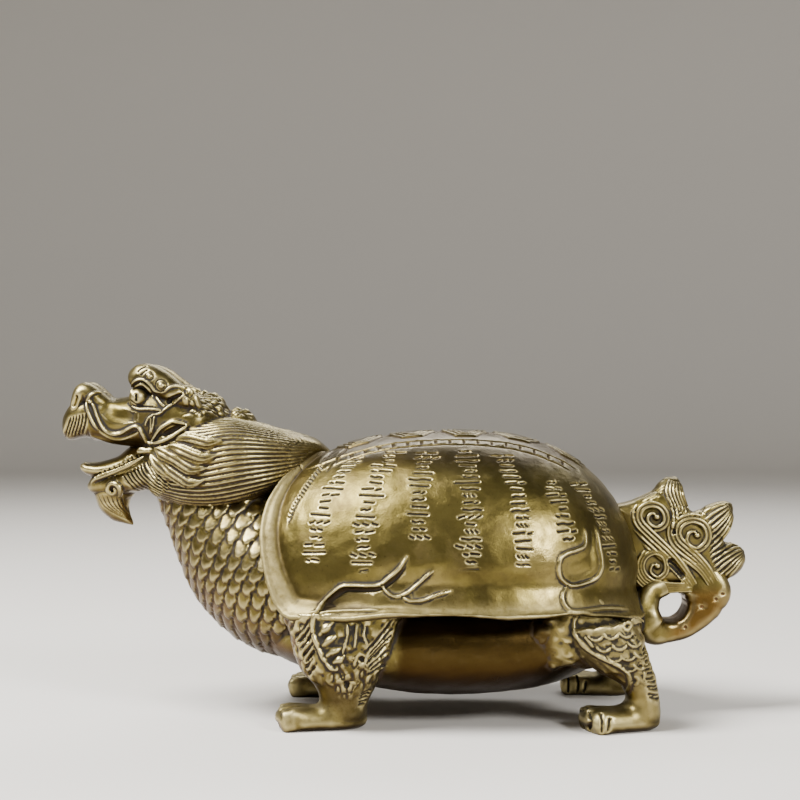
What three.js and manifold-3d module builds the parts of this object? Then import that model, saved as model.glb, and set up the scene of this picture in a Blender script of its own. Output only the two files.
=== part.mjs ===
// Dragon turtle figure: a small brass casting of a turtle with a dragon's head and mane, a domed shell,
// four scaled legs and a tail that ends in a tuft of curls. It is one solid, cast in one pour.
// Millimetres, +Z up. The head looks along -X, and the soles stand on Z = 0.
import * as THREE from "three";
import { mergeVertices } from "three/addons/utils/BufferGeometryUtils.js";
import Module from "manifold-3d";

const wasm = await Module();
wasm.setup();

// Overall size
const LENGTH = 110; // nose to the last spike of the tail
const WIDTH = 50; // across the shell's lip
const HEIGHT = 56; // soles to the crest of the brow

// Relief, each a size of its own
const COLLAR_REACH = 2.7; // how far the lip stands out in front, round the neck
const LIP_REACH = 1.1; // and along the sides and the back
const LIP_DEPTH = 1.1; // the lip's thickness
const SCUTE_RISE = 0.6; // plates along the back, above the dome
const VINE_RADIUS = 0.6; // raised lines on the shell and legs
const VINE_SUNK = 0; // how far a raised line's middle lies under the surface
const SCALE_RISE = 0.8; // scales of the neck, ridge above seam
const STRAND_DEPTH = 0.8; // grooves between the mane's strands
const LOCK_RADIUS = 1.3; // locks over the front of the mane
const CURL_RADIUS = 0.55; // strands of the tail's curls
const CURL_PROUD = 0.15; // how far a curl's middle stands out of the tuft's face
const TAIL_HOLE = 4.1; // opening between the tail's bend and its tuft
const EYE_RADIUS = 1.5;
const TOE_NOTCH = 0.22; // share of a paw's height

// How many of each
const STRANDS = 15; // ridges round the mane
const SCUTES = 5; // plates along the back

// The form is laid out in grid units, which the overall size stretches.
const GRID = new THREE.Vector3(109.5, 48.86, 55.8);
const UNIT = new THREE.Vector3(LENGTH, WIDTH, HEIGHT).divide(GRID);
const at = (x, y, z) => new THREE.Vector3(x, y, z).multiply(UNIT);
const SIDES = [-1, 1];
const DEGREE = Math.PI / 180;

// Shell, in grid units
const SHELL = { x: 9, base: 18, height: 27, front: 36, rear: 29.5, half: 23.4 };
const PLAN_POWER = 2 / 2.3; // how square the shell is from above
const PROFILE_POWER = 2 / 2.4; // how square its dome is
const COLLAR_SPAN = 58 * DEGREE; // the lip rises over the neck within this angle of the front
const COLLAR_TILT = 31 * DEGREE; // and ends this far from the top
const COLLAR_CURVE = 2.8; // how late it starts to rise
const COLLAR_NARROW = 0.65; // share of its reach that it loses right in front
const CORNER_REACH = 1; // how much wider it is at the front corners
const CORNER_AT = 53 * DEGREE; // which lie this far from the front
const CORNER_SPAN = 10 * DEGREE;
const LIP_FLARE = 0.5; // share of its reach that points away from the dome
const REAR_DIP = 1.7; // how far the rim goes down behind, in grid units
const FRONT_DIP = 0.9; // and at the front corners
const TUFT_HALF = 3.7; // half the tail tuft's thickness, in grid units

// A closed mesh as a solid, with its faces turned outward.
function solidOf(geometry) {
  const bare = geometry.clone();
  bare.deleteAttribute("normal");
  bare.deleteAttribute("uv");
  const merged = mergeVertices(bare, 1e-4);
  const vertProperties = new Float32Array(merged.attributes.position.array);
  const triVerts = new Uint32Array(merged.index.array);
  const made = new wasm.Manifold(new wasm.Mesh({ numProp: 3, vertProperties, triVerts }));
  if (made.volume() > 0) return made;
  for (let i = 0; i < triVerts.length; i += 3)
    [triVerts[i + 1], triVerts[i + 2]] = [triVerts[i + 2], triVerts[i + 1]];
  return new wasm.Manifold(new wasm.Mesh({ numProp: 3, vertProperties, triVerts }));
}

// A ball whose points are moved: place(u, v, column, row) is the point at share u around and v from end to end.
function sculpt(around, along, place) {
  const geometry = new THREE.SphereGeometry(1, around, along);
  let index = 0;
  for (let row = 0; row <= along; row++)
    for (let column = 0; column <= around; column++) {
      const turn = column % around;
      const p = place(turn / around, row / along, turn, row);
      geometry.attributes.position.setXYZ(index++, p.x, p.y, p.z);
    }
  return solidOf(geometry);
}

// A ring whose points are moved: place(section, loop) is the point at those shares.
function hoop(sides, steps, place) {
  const geometry = new THREE.TorusGeometry(2, 1, sides, steps);
  let index = 0;
  for (let j = 0; j <= sides; j++)
    for (let i = 0; i <= steps; i++) {
      const p = place((j % sides) / sides, (i % steps) / steps);
      geometry.attributes.position.setXYZ(index++, p.x, p.y, p.z);
    }
  return solidOf(geometry);
}

// The smooth value at share t of rows of numbers, through every row.
function through(rows, t) {
  const place = t * (rows.length - 1);
  const first = Math.min(Math.floor(place), rows.length - 2);
  const f = place - first;
  const [a, b, c, d] = [-1, 0, 1, 2].map(
    (k) => rows[Math.max(0, Math.min(rows.length - 1, first + k))],
  );
  return b.map((_, j) => {
    const slope = c[j] - a[j];
    const curve = 2 * a[j] - 5 * b[j] + 4 * c[j] - d[j];
    const twist = 3 * b[j] - a[j] - 3 * c[j] + d[j];
    return b[j] + 0.5 * f * (slope + f * (curve + f * twist));
  });
}

const bend = (value, power) => Math.sign(value) * Math.abs(value) ** power;

// The skin of a body along a spine, whose rows are [x, y, z, half across, half high]. The function that comes
// back gives the grid point at share u around, from the side of `across` over the top, and v from end to end.
function skin(rows, square = 2, across = [0, 1, 0]) {
  const power = 2 / square;
  const reference = new THREE.Vector3(...across);
  const step = 0.01;
  return (u, v, size = 1) => {
    const [x, y, z, half, high] = through(rows, v);
    const before = new THREE.Vector3(...through(rows, Math.max(0, v - step)));
    const ahead = new THREE.Vector3(...through(rows, Math.min(1, v + step))).sub(before).normalize();
    const side = reference.clone().addScaledVector(ahead, -reference.dot(ahead)).normalize();
    const up = new THREE.Vector3().crossVectors(ahead, side);
    const angle = u * 2 * Math.PI;
    const point = new THREE.Vector3(x, y, z);
    point.addScaledVector(side, Math.max(0, half) * size * bend(Math.cos(angle), power));
    point.addScaledVector(up, Math.max(0, high) * size * bend(Math.sin(angle), power));
    return point.toArray();
  };
}

// A body inside a skin. carve(u, v, column, ring) scales each point's distance from the spine.
function loft(rows, { around = 10, along = 8, square = 2, across = [0, 1, 0], carve = () => 1 }) {
  const surface = skin(rows, square, across);
  return sculpt(around, along, (u, v, column, ring) => at(...surface(u, v, carve(u, v, column, ring))));
}

// A rounded line through points, thinner towards both ends. Its radius is in millimetres.
function line(points, radius, { sides = 4, steps = 8, blunt = 0.5, across = [0, 1, 0] } = {}) {
  const curve = new THREE.CatmullRomCurve3(points.map((p) => at(...p)));
  const reference = new THREE.Vector3(...across);
  return sculpt(sides, steps, (u, v) => {
    const centre = curve.getPoint(v);
    const along3 = curve.getTangent(v);
    const side = reference.clone().addScaledVector(along3, -reference.dot(along3)).normalize();
    const up = new THREE.Vector3().crossVectors(side, along3);
    const angle = u * 2 * Math.PI;
    const thick = v > 0 && v < 1 ? radius * Math.min(1, Math.sin(Math.PI * v) ** blunt * 1.15) : 0;
    return centre.addScaledVector(side, thick * Math.cos(angle)).addScaledVector(up, thick * Math.sin(angle));
  });
}

function ball(x, y, z, radius, sides = 7, rings = 4) {
  const geometry = new THREE.SphereGeometry(radius, sides, rings);
  const centre = at(x, y, z);
  geometry.translate(centre.x, centre.y, centre.z);
  return solidOf(geometry);
}

// Goes smoothly from 0 to 1 between two values.
function ease(value, low, high) {
  const share = Math.min(1, Math.max(0, (value - low) / (high - low)));
  return share * share * (3 - 2 * share);
}

// A point on the dome at a plan angle and a tilt from the top, standing proud by some grid units.
function dome(angle, tilt, proud = 0) {
  const reach = Math.cos(angle) < 0 ? SHELL.front : SHELL.rear;
  const out = Math.sin(tilt) ** PROFILE_POWER;
  const lift = Math.max(0, Math.cos(tilt)) ** PROFILE_POWER;
  const forward = -Math.cos(angle);
  const corner = ease(forward, 0.2, 0.5) * (1 - ease(forward, 0.75, 0.92));
  const dip = (REAR_DIP * ease(-forward, 0.5, 0.95) + FRONT_DIP * corner) * (1 - lift) ** 2;
  return [
    SHELL.x + (reach + proud) * bend(Math.cos(angle), PLAN_POWER) * out,
    (SHELL.half + proud) * bend(Math.sin(angle), PLAN_POWER) * out,
    SHELL.base - dip + (SHELL.height + proud) * lift,
  ];
}

// How far the lip stands out at a plan angle.
function lipReach(angle) {
  const forward = Math.max(0, -Math.cos(angle));
  const narrow = 1 - COLLAR_NARROW * ease(forward, 0.8, 0.94);
  const fromCorner = (Math.abs(angle - Math.PI) - CORNER_AT) / CORNER_SPAN;
  const corner = CORNER_REACH * Math.exp(-(fromCorner ** 2));
  return (LIP_REACH + (COLLAR_REACH - LIP_REACH) * forward) * narrow + corner;
}

// Where the lip meets the dome: near its base all round, but rising over the neck in front.
function lipTilt(angle) {
  const share = Math.min(1, Math.abs(angle - Math.PI) / COLLAR_SPAN);
  const rising = COLLAR_TILT + (Math.PI / 2 - COLLAR_TILT) * Math.sin((share * Math.PI) / 2) ** COLLAR_CURVE;
  const room = (0.1 + 0.8 * lipReach(angle)) / SHELL.height;
  return Math.min(rising, Math.acos(room ** (1 / PROFILE_POWER)));
}

function shellDome() {
  const rings = 9;
  return sculpt(28, rings + 2, (u, v, column, ring) => {
    const angle = u * 2 * Math.PI;
    const edge = lipTilt(angle);
    if (ring <= rings) return at(...dome(angle, (ring / rings) * edge));
    const left = (rings + 2 - ring) / 2;
    const [x, y, z] = dome(angle, edge);
    return at(SHELL.x + (x - SHELL.x) * left, y * left, SHELL.base - 4 + (z - SHELL.base) * left);
  });
}

// The lip: a flat band that flares from the dome's edge, partly away from the dome and partly onward.
function shellLip() {
  return hoop(4, 28, (section, loop) => {
    const angle = loop * 2 * Math.PI;
    const tilt = lipTilt(angle);
    const edge = at(...dome(angle, tilt));
    const away = at(...dome(angle, tilt, 1)).sub(edge).normalize();
    const ahead = at(...dome(angle + 0.02, lipTilt(angle + 0.02))).sub(edge).normalize();
    const onward = new THREE.Vector3().crossVectors(ahead, away).normalize();
    const flare = away.clone().multiplyScalar(LIP_FLARE);
    flare.addScaledVector(onward, Math.sqrt(1 - LIP_FLARE ** 2)).normalize();
    const face = new THREE.Vector3().crossVectors(ahead, flare).normalize();
    const out = section < 0.25 || section >= 0.75 ? lipReach(angle) : -0.6;
    const up = section < 0.5 ? LIP_DEPTH / 2 : -LIP_DEPTH / 2;
    return edge.addScaledVector(flare, out).addScaledVector(face, up);
  });
}

// Six-sided plates along the back, cut from a slightly larger dome.
function backPlates() {
  const first = -6.5;
  const last = 27;
  const gap = 0.8;
  const pitch = (last - first) / (SCUTES - 1);
  const lid = sculpt(16, 10, (u, v) => {
    const angle = u * 2 * Math.PI;
    const top = Math.min(1, v / 0.8);
    const shrink = v > 0.8 ? (1 - v) / 0.2 : 1;
    const [x, y, z] = dome(angle, (top * Math.PI) / 2);
    const low = SHELL.base + (z - SHELL.base) * shrink;
    return at(SHELL.x + (x - SHELL.x) * shrink, y * shrink, low).add(new THREE.Vector3(0, 0, SCUTE_RISE));
  });
  const prisms = [];
  for (let i = 0; i < SCUTES; i++) {
    const taper = 1 - 0.07 * Math.abs(i - (SCUTES - 1) / 2);
    const shape = new THREE.Shape();
    const half = (pitch - gap) / 2;
    const wide = 7.6 * taper;
    [
      [-half, wide * 0.5],
      [-half * 0.45, wide],
      [half * 0.45, wide],
      [half, wide * 0.5],
      [half, -wide * 0.5],
      [half * 0.45, -wide],
      [-half * 0.45, -wide],
      [-half, -wide * 0.5],
    ].forEach(([x, y], k) => {
      const p = at(first + i * pitch + x, y, 0);
      if (k) shape.lineTo(p.x, p.y);
      else shape.moveTo(p.x, p.y);
    });
    const prism = new THREE.ExtrudeGeometry(shape, { depth: HEIGHT, bevelEnabled: false, steps: 1 });
    prisms.push(solidOf(prism));
  }
  return prisms.map((prism) => prism.intersect(lid));
}

// The closed belly and the body under the shell.
function belly() {
  const rows = [
    [-23, 0, 17, 0, 0],
    [-20, 0, 16, 9, 5],
    [-15, 0, 14.2, 14.4, 6.4],
    [-7, 0, 12.8, 18, 7.5],
    [2, 0, 12.1, 19.5, 8.3],
    [12, 0, 12, 19.5, 8.4],
    [21, 0, 12.6, 18.5, 7.9],
    [29, 0, 14, 15.5, 6.4],
    [35.6, 0, 15.7, 10, 4.4],
    [38.6, 0, 16.4, 5.6, 3.4],
    [40.2, 0, 16.8, 0, 0],
  ];
  return loft(rows, { around: 14, along: 9, square: 2.4 });
}

// The neck, with a lattice of raised scales.
function neck() {
  const rows = [
    [-9, 0, 21, 8, 8],
    [-13, 0, 21.4, 15.6, 12.8],
    [-18.5, 0, 22.9, 15.2, 13.5],
    [-23.6, 0, 26, 13.2, 12.6],
    [-27.6, 0, 30, 10.8, 10.2],
    [-30.6, 0, 34, 8.6, 8.2],
    [-33.2, 0, 38, 7, 7],
    [-35.4, 0, 42, 5.6, 5.4],
  ];
  const around = 22;
  const along = 11;
  const carve = (u, v, column, ringRow) => {
    if (ringRow === 0 || ringRow === along) return 0;
    return (column + ringRow) % 2 ? 1 : 1 - SCALE_RISE / 10;
  };
  return loft(rows, { around, along, carve });
}

// The mane: a spindle over the neck, fluted into strands that meet at its tip.
const MANE = [
  [-42.6, 0, 40.2, 0, 0],
  [-39.4, 0, 40, 7.4, 5],
  [-35.2, 0, 39.9, 10, 7],
  [-30.5, 0, 39.6, 11.8, 7.5],
  [-26, 0, 39.9, 12.3, 7.4],
  [-21.5, 0, 40.3, 11.2, 6],
  [-17.5, 0, 40.9, 8.4, 4.4],
  [-13.8, 0, 41.4, 4.6, 2.6],
  [-10.4, 0, 41, 0, 0],
];
const MANE_SQUARE = 2.6;

function mane() {
  const carve = (u, v, column) => (column % 2 ? 1 - STRAND_DEPTH / 9 : 1);
  return loft(MANE, { around: 2 * STRANDS, along: 7, square: MANE_SQUARE, carve });
}

// Locks that lie over the front of the mane, each from its root to its tip as [share along, degrees up].
function locks(side) {
  const surface = skin(MANE, MANE_SQUARE);
  const spans = [
    [[0.2, 32], [0.47, 19]],
    [[0.16, 12], [0.44, 4]],
    [[0.15, -8], [0.38, -12]],
    [[0.15, -28], [0.36, -27]],
  ];
  return spans.map(([[v0, a0], [v1, a1]]) => {
    const points = [0, 1, 2, 3, 4].map((i) => {
      const angle = (a0 + ((a1 - a0) * i) / 4) * DEGREE;
      const turn = side > 0 ? angle : Math.PI - angle;
      const [x, y, z] = surface(turn / (2 * Math.PI), v0 + ((v1 - v0) * i) / 4, 1.02);
      return [x, y, z];
    });
    return line(points, LOCK_RADIUS, { steps: 4, blunt: 0.6 });
  });
}

// Upper jaw, skull and the two rough knobs behind the brow.
function skull() {
  const rows = [
    [-53.7, 0, 43.8, 0, 0],
    [-53.1, 0, 44.4, 3.6, 1.2],
    [-51.7, 0, 46.1, 4.6, 2.9],
    [-49.8, 0, 47.2, 4.9, 3.7],
    [-47.6, 0, 47.1, 5, 3.7],
    [-45.4, 0, 46.7, 5.5, 3.8],
    [-42.4, 0, 47, 6.7, 4.6],
    [-39, 0, 47, 7.6, 5.3],
    [-35, 0, 46.3, 8, 5],
    [-31, 0, 45.3, 7.6, 4.4],
    [-27, 0, 44, 0, 0],
  ];
  const parts = [loft(rows, { around: 12, along: 10, square: 2.5 })];
  parts.push(
    loft(
      [
        [-34, 0, 47.8, 0, 0],
        [-32.6, 0, 48.4, 3.4, 2.4],
        [-30.7, 0, 48.4, 4.1, 2.8],
        [-28.8, 0, 47, 3.6, 2],
        [-27.3, 0, 46, 3.4, 1.9],
        [-25.8, 0, 46.3, 3.4, 2.4],
        [-24.2, 0, 45.4, 2.8, 1.8],
        [-22.8, 0, 44.4, 0, 0],
      ],
      { around: 7, along: 8 },
    ),
  );
  for (const side of SIDES) {
    parts.push(
      loft(
        [
          [-52, side * 2.8, 47.2, 0, 0],
          [-51.8, side * 2.8, 48.2, 1.7, 0.8],
          [-51.3, side * 2.8, 49.9, 2.1, 1.2],
          [-50.5, side * 2.7, 51.2, 2.2, 1.6],
          [-49.3, side * 2.6, 50.8, 2.3, 1.7],
          [-47.6, side * 2.4, 49.4, 2.3, 1.6],
          [-45.8, side * 2, 48.6, 1.7, 1.1],
          [-44, side * 1.8, 48, 0, 0],
        ],
        { around: 6, along: 6 },
      ),
    );
    parts.push(
      loft(
        [
          [-42, side * 4.6, 51.6, 0, 0],
          [-41.6, side * 4.6, 52.6, 1.8, 1.8],
          [-40.9, side * 4.5, 53.3, 2.3, 2.5],
          [-39.8, side * 4.5, 53.6, 2.5, 2.3],
          [-38.3, side * 4.8, 52.9, 2.6, 2.2],
          [-36.4, side * 5.3, 51.6, 2.5, 2.1],
          [-34.4, side * 5.9, 50.4, 2.1, 1.8],
          [-32.6, side * 6.5, 49.6, 1.5, 1.3],
          [-31.2, side * 7, 48.8, 0, 0],
        ],
        { around: 7, along: 8 },
      ),
    );
    parts.push(ball(-41.3, side * 5.9, 50.4, EYE_RADIUS));
    parts.push(
      loft(
        [
          [-38.9, side * 7.6, 43.4, 0, 0],
          [-36.9, side * 9, 44.6, 0.9, 1.5],
          [-34.9, side * 9.6, 45.7, 0.9, 1.4],
          [-32.8, side * 9.8, 46.5, 0, 0],
        ],
        { around: 6, along: 5 },
      ),
    );
    parts.push(
      line(
        [
          [-49.6, side * 4.6, 50],
          [-48.9, side * 5.1, 48.2],
          [-47.5, side * 5.2, 45.9],
          [-44.8, side * 5.8, 44.7],
          [-42, side * 6.9, 45.7],
          [-40.6, side * 7.5, 45.2],
          [-39, side * 8.1, 43.2],
        ],
        0.75,
        { steps: 6 },
      ),
    );
  }
  return parts;
}

// Lower jaw with its tongue, the beard that hangs from it and the curls on the chin.
function lowerJaw() {
  const jaw = loft(
    [
      [-50.4, 0, 36.4, 0, 0],
      [-49.4, 0, 36.3, 2.4, 1.3],
      [-46.4, 0, 36.6, 3.8, 1.9],
      [-43, 0, 37.4, 5.4, 2.3],
      [-39.8, 0, 38.6, 7, 2.8],
      [-36, 0, 40, 7.4, 3.6],
      [-33, 0, 41, 0, 0],
    ],
    { around: 10, along: 7, square: 2.4 },
  );
  const tongue = loft(
    [
      [-51.4, 0, 39.7, 0, 0],
      [-50.8, 0, 39.3, 1.7, 0.8],
      [-47.6, 0, 38.8, 3.2, 1.4],
      [-44.6, 0, 39.5, 3.9, 1.7],
      [-41.4, 0, 41, 4, 2.2],
      [-38, 0, 42, 0, 0],
    ],
    { around: 8, along: 6 },
  );
  const beard = loft(
    [
      [-45.7, 0, 37, 0, 0],
      [-46, 0, 35.6, 3.1, 3],
      [-46, 0, 33.8, 2.8, 2.8],
      [-45.3, 0, 32.2, 2.2, 2],
      [-44.2, 0, 31, 1.4, 1.05],
      [-42.9, 0, 29.8, 0, 0],
    ],
    { around: 8, along: 7, across: [0, 1, 0] },
  );
  const parts = [jaw, tongue, beard];
  for (const side of SIDES) {
    parts.push(
      line(
        [
          [-49.8, side * 1.4, 36],
          [-48.4, side * 3.1, 37.5],
          [-45.4, side * 4.6, 38.6],
          [-42.6, side * 6.1, 39.8],
          [-40, side * 7.4, 41.3],
        ],
        0.6,
        { steps: 6 },
      ),
    );
    const curl = [];
    for (let i = 0; i <= 10; i++) {
      const turn = (-140 + i * 50) * DEGREE;
      const reach = 1.75 - i * 0.13;
      curl.push([-45.9 + reach * Math.cos(turn), side * 3.8, 35.2 + reach * Math.sin(turn)]);
    }
    parts.push(line(curl, 0.5, { sides: 3, steps: 9, across: [0, side, 0] }));
  }
  return parts;
}

// Leg forms for the +Y side, from the body down.
const FRONT_LEG = [
  [-8.6, 16.6, 18.8, 0, 0],
  [-8.6, 16.6, 17.4, 5.6, 8.4],
  [-8.6, 17, 15.4, 5.6, 8.3],
  [-8.7, 17.3, 11.6, 5.1, 7.2],
  [-8.4, 16.5, 8, 4.3, 5.1],
  [-8.5, 15.7, 4.8, 3.6, 3.8],
  [-8.9, 15.2, 2.2, 3, 3.3],
  [-9, 15.2, 0.8, 0, 0],
];
const HIND_LEG = [
  [31, 16, 16.6, 0, 0],
  [31, 16, 15.6, 4.2, 5.8],
  [31.4, 16.3, 14.2, 4.9, 5.5],
  [33.2, 17, 11.8, 4.4, 4.4],
  [35.7, 16.6, 8.4, 3.7, 2.7],
  [36.9, 16, 5, 3.5, 2.4],
  [36.6, 15.8, 2, 3.4, 3],
  [36.6, 15.8, -0.6, 0, 0],
];
const THIGH = [
  [24, 12.6, 18, 0, 0],
  [24.4, 13, 16.4, 5.6, 8],
  [26.5, 14, 13.2, 5, 7.4],
  [28, 14.2, 10.6, 3.6, 4.6],
  [28, 14.2, 8.8, 0, 0],
];
const LEG_SQUARE = 2.3;
const mirrored = (rows, side) => rows.map(([x, y, ...rest]) => [x, side * y, ...rest]);

function frontLeg(side) {
  const leg = loft(mirrored(FRONT_LEG, side), { around: 10, along: 8, square: LEG_SQUARE });
  return [leg, paw(side, [-4.9, 14.4], [-18.9, 16])];
}

function hindLeg(side) {
  const thigh = loft(mirrored(THIGH, side), { around: 8, along: 5, square: LEG_SQUARE });
  const leg = loft(mirrored(HIND_LEG, side), { around: 10, along: 8, square: LEG_SQUARE });
  return [thigh, leg, paw(side, [39.4, 15], [27, 18.6])];
}

// A paw from heel to toes, each given as [x, y], whose front is notched into three toes.
function paw(side, heel, tip) {
  const shares = [
    [0, 1.7, 0, 0],
    [0.05, 1.7, 1.9, 1.8],
    [0.25, 1.8, 3.4, 2.4],
    [0.55, 1.7, 4.1, 2.3],
    [0.85, 1.5, 4.2, 2.1],
    [0.97, 1.3, 3.8, 1.7],
    [1, 1.1, 0, 0],
  ];
  const rows = shares.map(([t, z, half, high]) => [
    heel[0] + (tip[0] - heel[0]) * t,
    side * (heel[1] + (tip[1] - heel[1]) * t),
    z,
    half,
    high,
  ]);
  const notches = [240, 300].map((angle) => angle / 360);
  const carve = (u, v) => {
    const near = Math.min(...notches.map((notch) => Math.abs(u - notch)));
    return v > 0.5 && near < 0.03 ? 1 - TOE_NOTCH : 1;
  };
  return loft(rows, { around: 12, along: 4, square: 2.6, carve });
}

// The tail's thick root, which bends round the hole from under the shell up into the tuft. Its middle line is
// given by angles round the hole, each with the root's half thickness and half width there.
const HOLE = { x: 43.25, z: 16.95, radius: 2.1 };
function tailRoot() {
  const turns = [
    [95, 1.3, 3.5],
    [140, 1.8, 5],
    [180, 2.2, 6.6],
    [215, 2.45, 6.8],
    [235, 2.4, 6],
    [256, 1.9, 5],
    [281, 1.68, 4.6],
    [300, 1.7, 4.6],
    [318, 1.85, 4.6],
    [341, 2.3, 4.5],
    [355, 2.75, 4.4],
    [366, 3.2, 4.3],
    [386, 4.1, 4],
  ];
  const rows = turns.map(([degrees, half, wide]) => {
    const out = HOLE.radius + half;
    const x = HOLE.x + out * Math.cos(degrees * DEGREE);
    return [x, 0, HOLE.z + out * Math.sin(degrees * DEGREE), wide, half];
  });
  const first = [...rows[0].slice(0, 3), 0, 0];
  return loft([first, ...rows, [47.4, 0, 23.4, 3, 2.4], [46, 0, 25, 0, 0]], { around: 8, along: 13 });
}

// The tuft: a thick leaf with spikes, each given from root to tip as [x, z, half width, half thickness].
function tuft() {
  const bevel = 1.1;
  const depth = 2 * (TUFT_HALF * UNIT.y - bevel);
  const outline = new THREE.Shape();
  [
    [34, 32.6],
    [36.1, 32.9],
    [38.7, 33.7],
    [40.8, 34.8],
    [42.4, 34.9],
    [45.6, 32.5],
    [47.2, 31.6],
    [50.2, 29.8],
    [51.7, 27.4],
    [52, 24],
    [51.6, 21.4],
    [49.6, 20.1],
    [44.6, 20.2],
    [40.8, 20.2],
    [34, 18.8],
  ].forEach(([x, z], i) => {
    const p = at(x, 0, z);
    if (i) outline.lineTo(p.x, p.z);
    else outline.moveTo(p.x, p.z);
  });
  const plate = new THREE.ExtrudeGeometry(outline, {
    depth,
    bevelEnabled: true,
    bevelThickness: bevel,
    bevelSize: bevel * 0.6,
    bevelOffset: -bevel * 0.3,
    bevelSegments: 1,
  });
  plate.translate(0, 0, -depth / 2);
  plate.rotateX(Math.PI / 2);
  const spikes = [
    [
      [42.6, 30.6, 3.3, 3.4],
      [43, 33.2, 3.1, 3.3],
      [43.4, 35.5, 2.35, 2.7],
      [43.9, 37, 1.3, 1.5],
      [44.2, 37.75, 0, 0],
    ],
    [
      [46.8, 28.2, 3.3, 3.4],
      [49.6, 29.6, 3.2, 3.3],
      [51.1, 31.1, 2.7, 2.7],
      [52.6, 32.6, 1.5, 1.7],
      [53.45, 33.35, 0, 0],
    ],
    [
      [48.8, 24, 3, 3.4],
      [51.6, 24.2, 3.1, 3.2],
      [53.5, 24.7, 2.6, 2.5],
      [54.7, 25.4, 1.5, 1.5],
      [55.5, 25.9, 0, 0],
    ],
  ].map((spike) => {
    const rows = spike.map(([x, z, wide, thick]) => [x, 0, z, thick, wide]);
    return loft([[...rows[0].slice(0, 3), 0, 0], ...rows], { around: 6, along: 6 });
  });
  return [solidOf(plate), ...spikes];
}

// Curls on both faces of the tuft: a stem that ends in a spiral.
function curls(side) {
  const face = TUFT_HALF + CURL_PROUD / UNIT.y;
  const made = [];
  for (const [x, z, turns, start, reach, root] of [
    [41, 31.2, 1.35, 200, 2.6, [[48, 20.6], [44, 25.4]]],
    [47.5, 28.4, 1.35, 190, 2.7, [[51, 21.2], [48.4, 24.8]]],
    [41.1, 23.5, 1.45, 250, 2.6, [[48.4, 20.4], [44.2, 20.8]]],
  ]) {
    const path = root.map(([rx, rz]) => [rx, side * face, rz]);
    const count = 9;
    for (let i = 0; i <= count; i++) {
      const turn = (start - (i / count) * turns * 360) * DEGREE;
      const out = reach * (1 - 0.85 * (i / count));
      path.push([x + out * Math.cos(turn), side * face, z + out * Math.sin(turn)]);
    }
    made.push(line(path, CURL_RADIUS, { sides: 3, steps: 10, blunt: 0.25, across: [0, side, 0] }));
  }
  return made;
}

// A point on the dome's side that shows at x and z, for lines laid on the shell.
function onShell(x, z, side, sunk = VINE_SUNK) {
  const reach = x < SHELL.x ? SHELL.front : SHELL.rear;
  const lift = Math.min(1, Math.max(0, (z - SHELL.base) / SHELL.height));
  const out = (1 - lift ** (2 / PROFILE_POWER)) ** (PROFILE_POWER / 2);
  const forward = Math.min(1, Math.abs(x - SHELL.x) / reach / out);
  const across = out * (1 - forward ** (2 / PLAN_POWER)) ** (PLAN_POWER / 2);
  return [x, side * (SHELL.half * across - sunk), z];
}

// Raised lines: a branching vine over each front leg and a cloud over each hind leg.
function vines(side) {
  const paths = [
    [[-12.6, 18.2], [-10.4, 20.8], [-7, 22.3], [-3, 22.5], [-0.4, 24.6], [1.2, 27.1]],
    [[-2.8, 22.5], [-0.7, 20.8], [2.5, 22.5], [5.1, 24.8]],
    [[0.2, 20.9], [3.4, 20.3], [7.6, 21.7]],
    [[28, 30.8], [27.8, 28], [25, 27], [23.7, 24.9], [25.2, 22.3], [28, 22.4], [30.6, 25.9], [29.8, 31]],
    [[25.2, 22.1], [24.3, 20], [26.1, 18.3]],
  ];
  return paths.map((path) =>
    line(
      path.map(([x, z]) => onShell(x, z, side)),
      VINE_RADIUS,
      { sides: 3, steps: path.length, across: [0, side, 0] },
    ),
  );
}

// The raised edges of the leg panels, down the front of each leg's outer face.
function legEdges(side) {
  const spans = [
    [FRONT_LEG, 0.2, 0.72, 40],
    [HIND_LEG, 0.2, 0.72, 46],
  ];
  return spans.map(([rows, v0, v1, degrees]) => {
    const surface = skin(mirrored(rows, side), LEG_SQUARE);
    const turn = (side > 0 ? degrees : 180 - degrees) / 360;
    const points = [0, 1, 2, 3, 4].map((i) => surface(1 - turn, v0 + ((v1 - v0) * i) / 4));
    return line(points, VINE_RADIUS, { sides: 3, steps: 5, across: [0, side, 0] });
  });
}

function tailHole() {
  const hole = new THREE.CylinderGeometry(TAIL_HOLE / 2, TAIL_HOLE / 2, WIDTH, 16);
  const centre = at(HOLE.x, 0, HOLE.z);
  hole.translate(centre.x, centre.y, centre.z);
  return solidOf(hole);
}

// What lies under the soles.
function ground() {
  const block = new THREE.BoxGeometry(2 * LENGTH, 2 * WIDTH, HEIGHT);
  block.translate(0, 0, -HEIGHT / 2);
  return solidOf(block);
}

function figure() {
  const added = [shellDome(), shellLip(), ...backPlates(), belly(), neck(), mane()];
  added.push(...skull(), ...lowerJaw(), tailRoot(), ...tuft());
  const cut = [tailHole(), ground()];
  for (const side of SIDES) {
    added.push(...locks(side), ...frontLeg(side), ...hindLeg(side), ...curls(side));
    added.push(...vines(side), ...legEdges(side));
  }
  const whole = added.reduce((sum, solid) => sum.add(solid));
  return cut.reduce((sum, solid) => sum.subtract(solid), whole);
}

// A solid as three.js geometry.
function geometryOf(solid) {
  const mesh = solid.getMesh();
  const points = new Float32Array(mesh.numVert * 3);
  for (let i = 0; i < mesh.numVert; i++)
    points.set(mesh.vertProperties.subarray(i * mesh.numProp, i * mesh.numProp + 3), i * 3);
  const geometry = new THREE.BufferGeometry();
  geometry.setAttribute("position", new THREE.BufferAttribute(points, 3));
  geometry.setIndex(new THREE.BufferAttribute(mesh.triVerts, 1));
  geometry.computeVertexNormals();
  return geometry;
}

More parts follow.
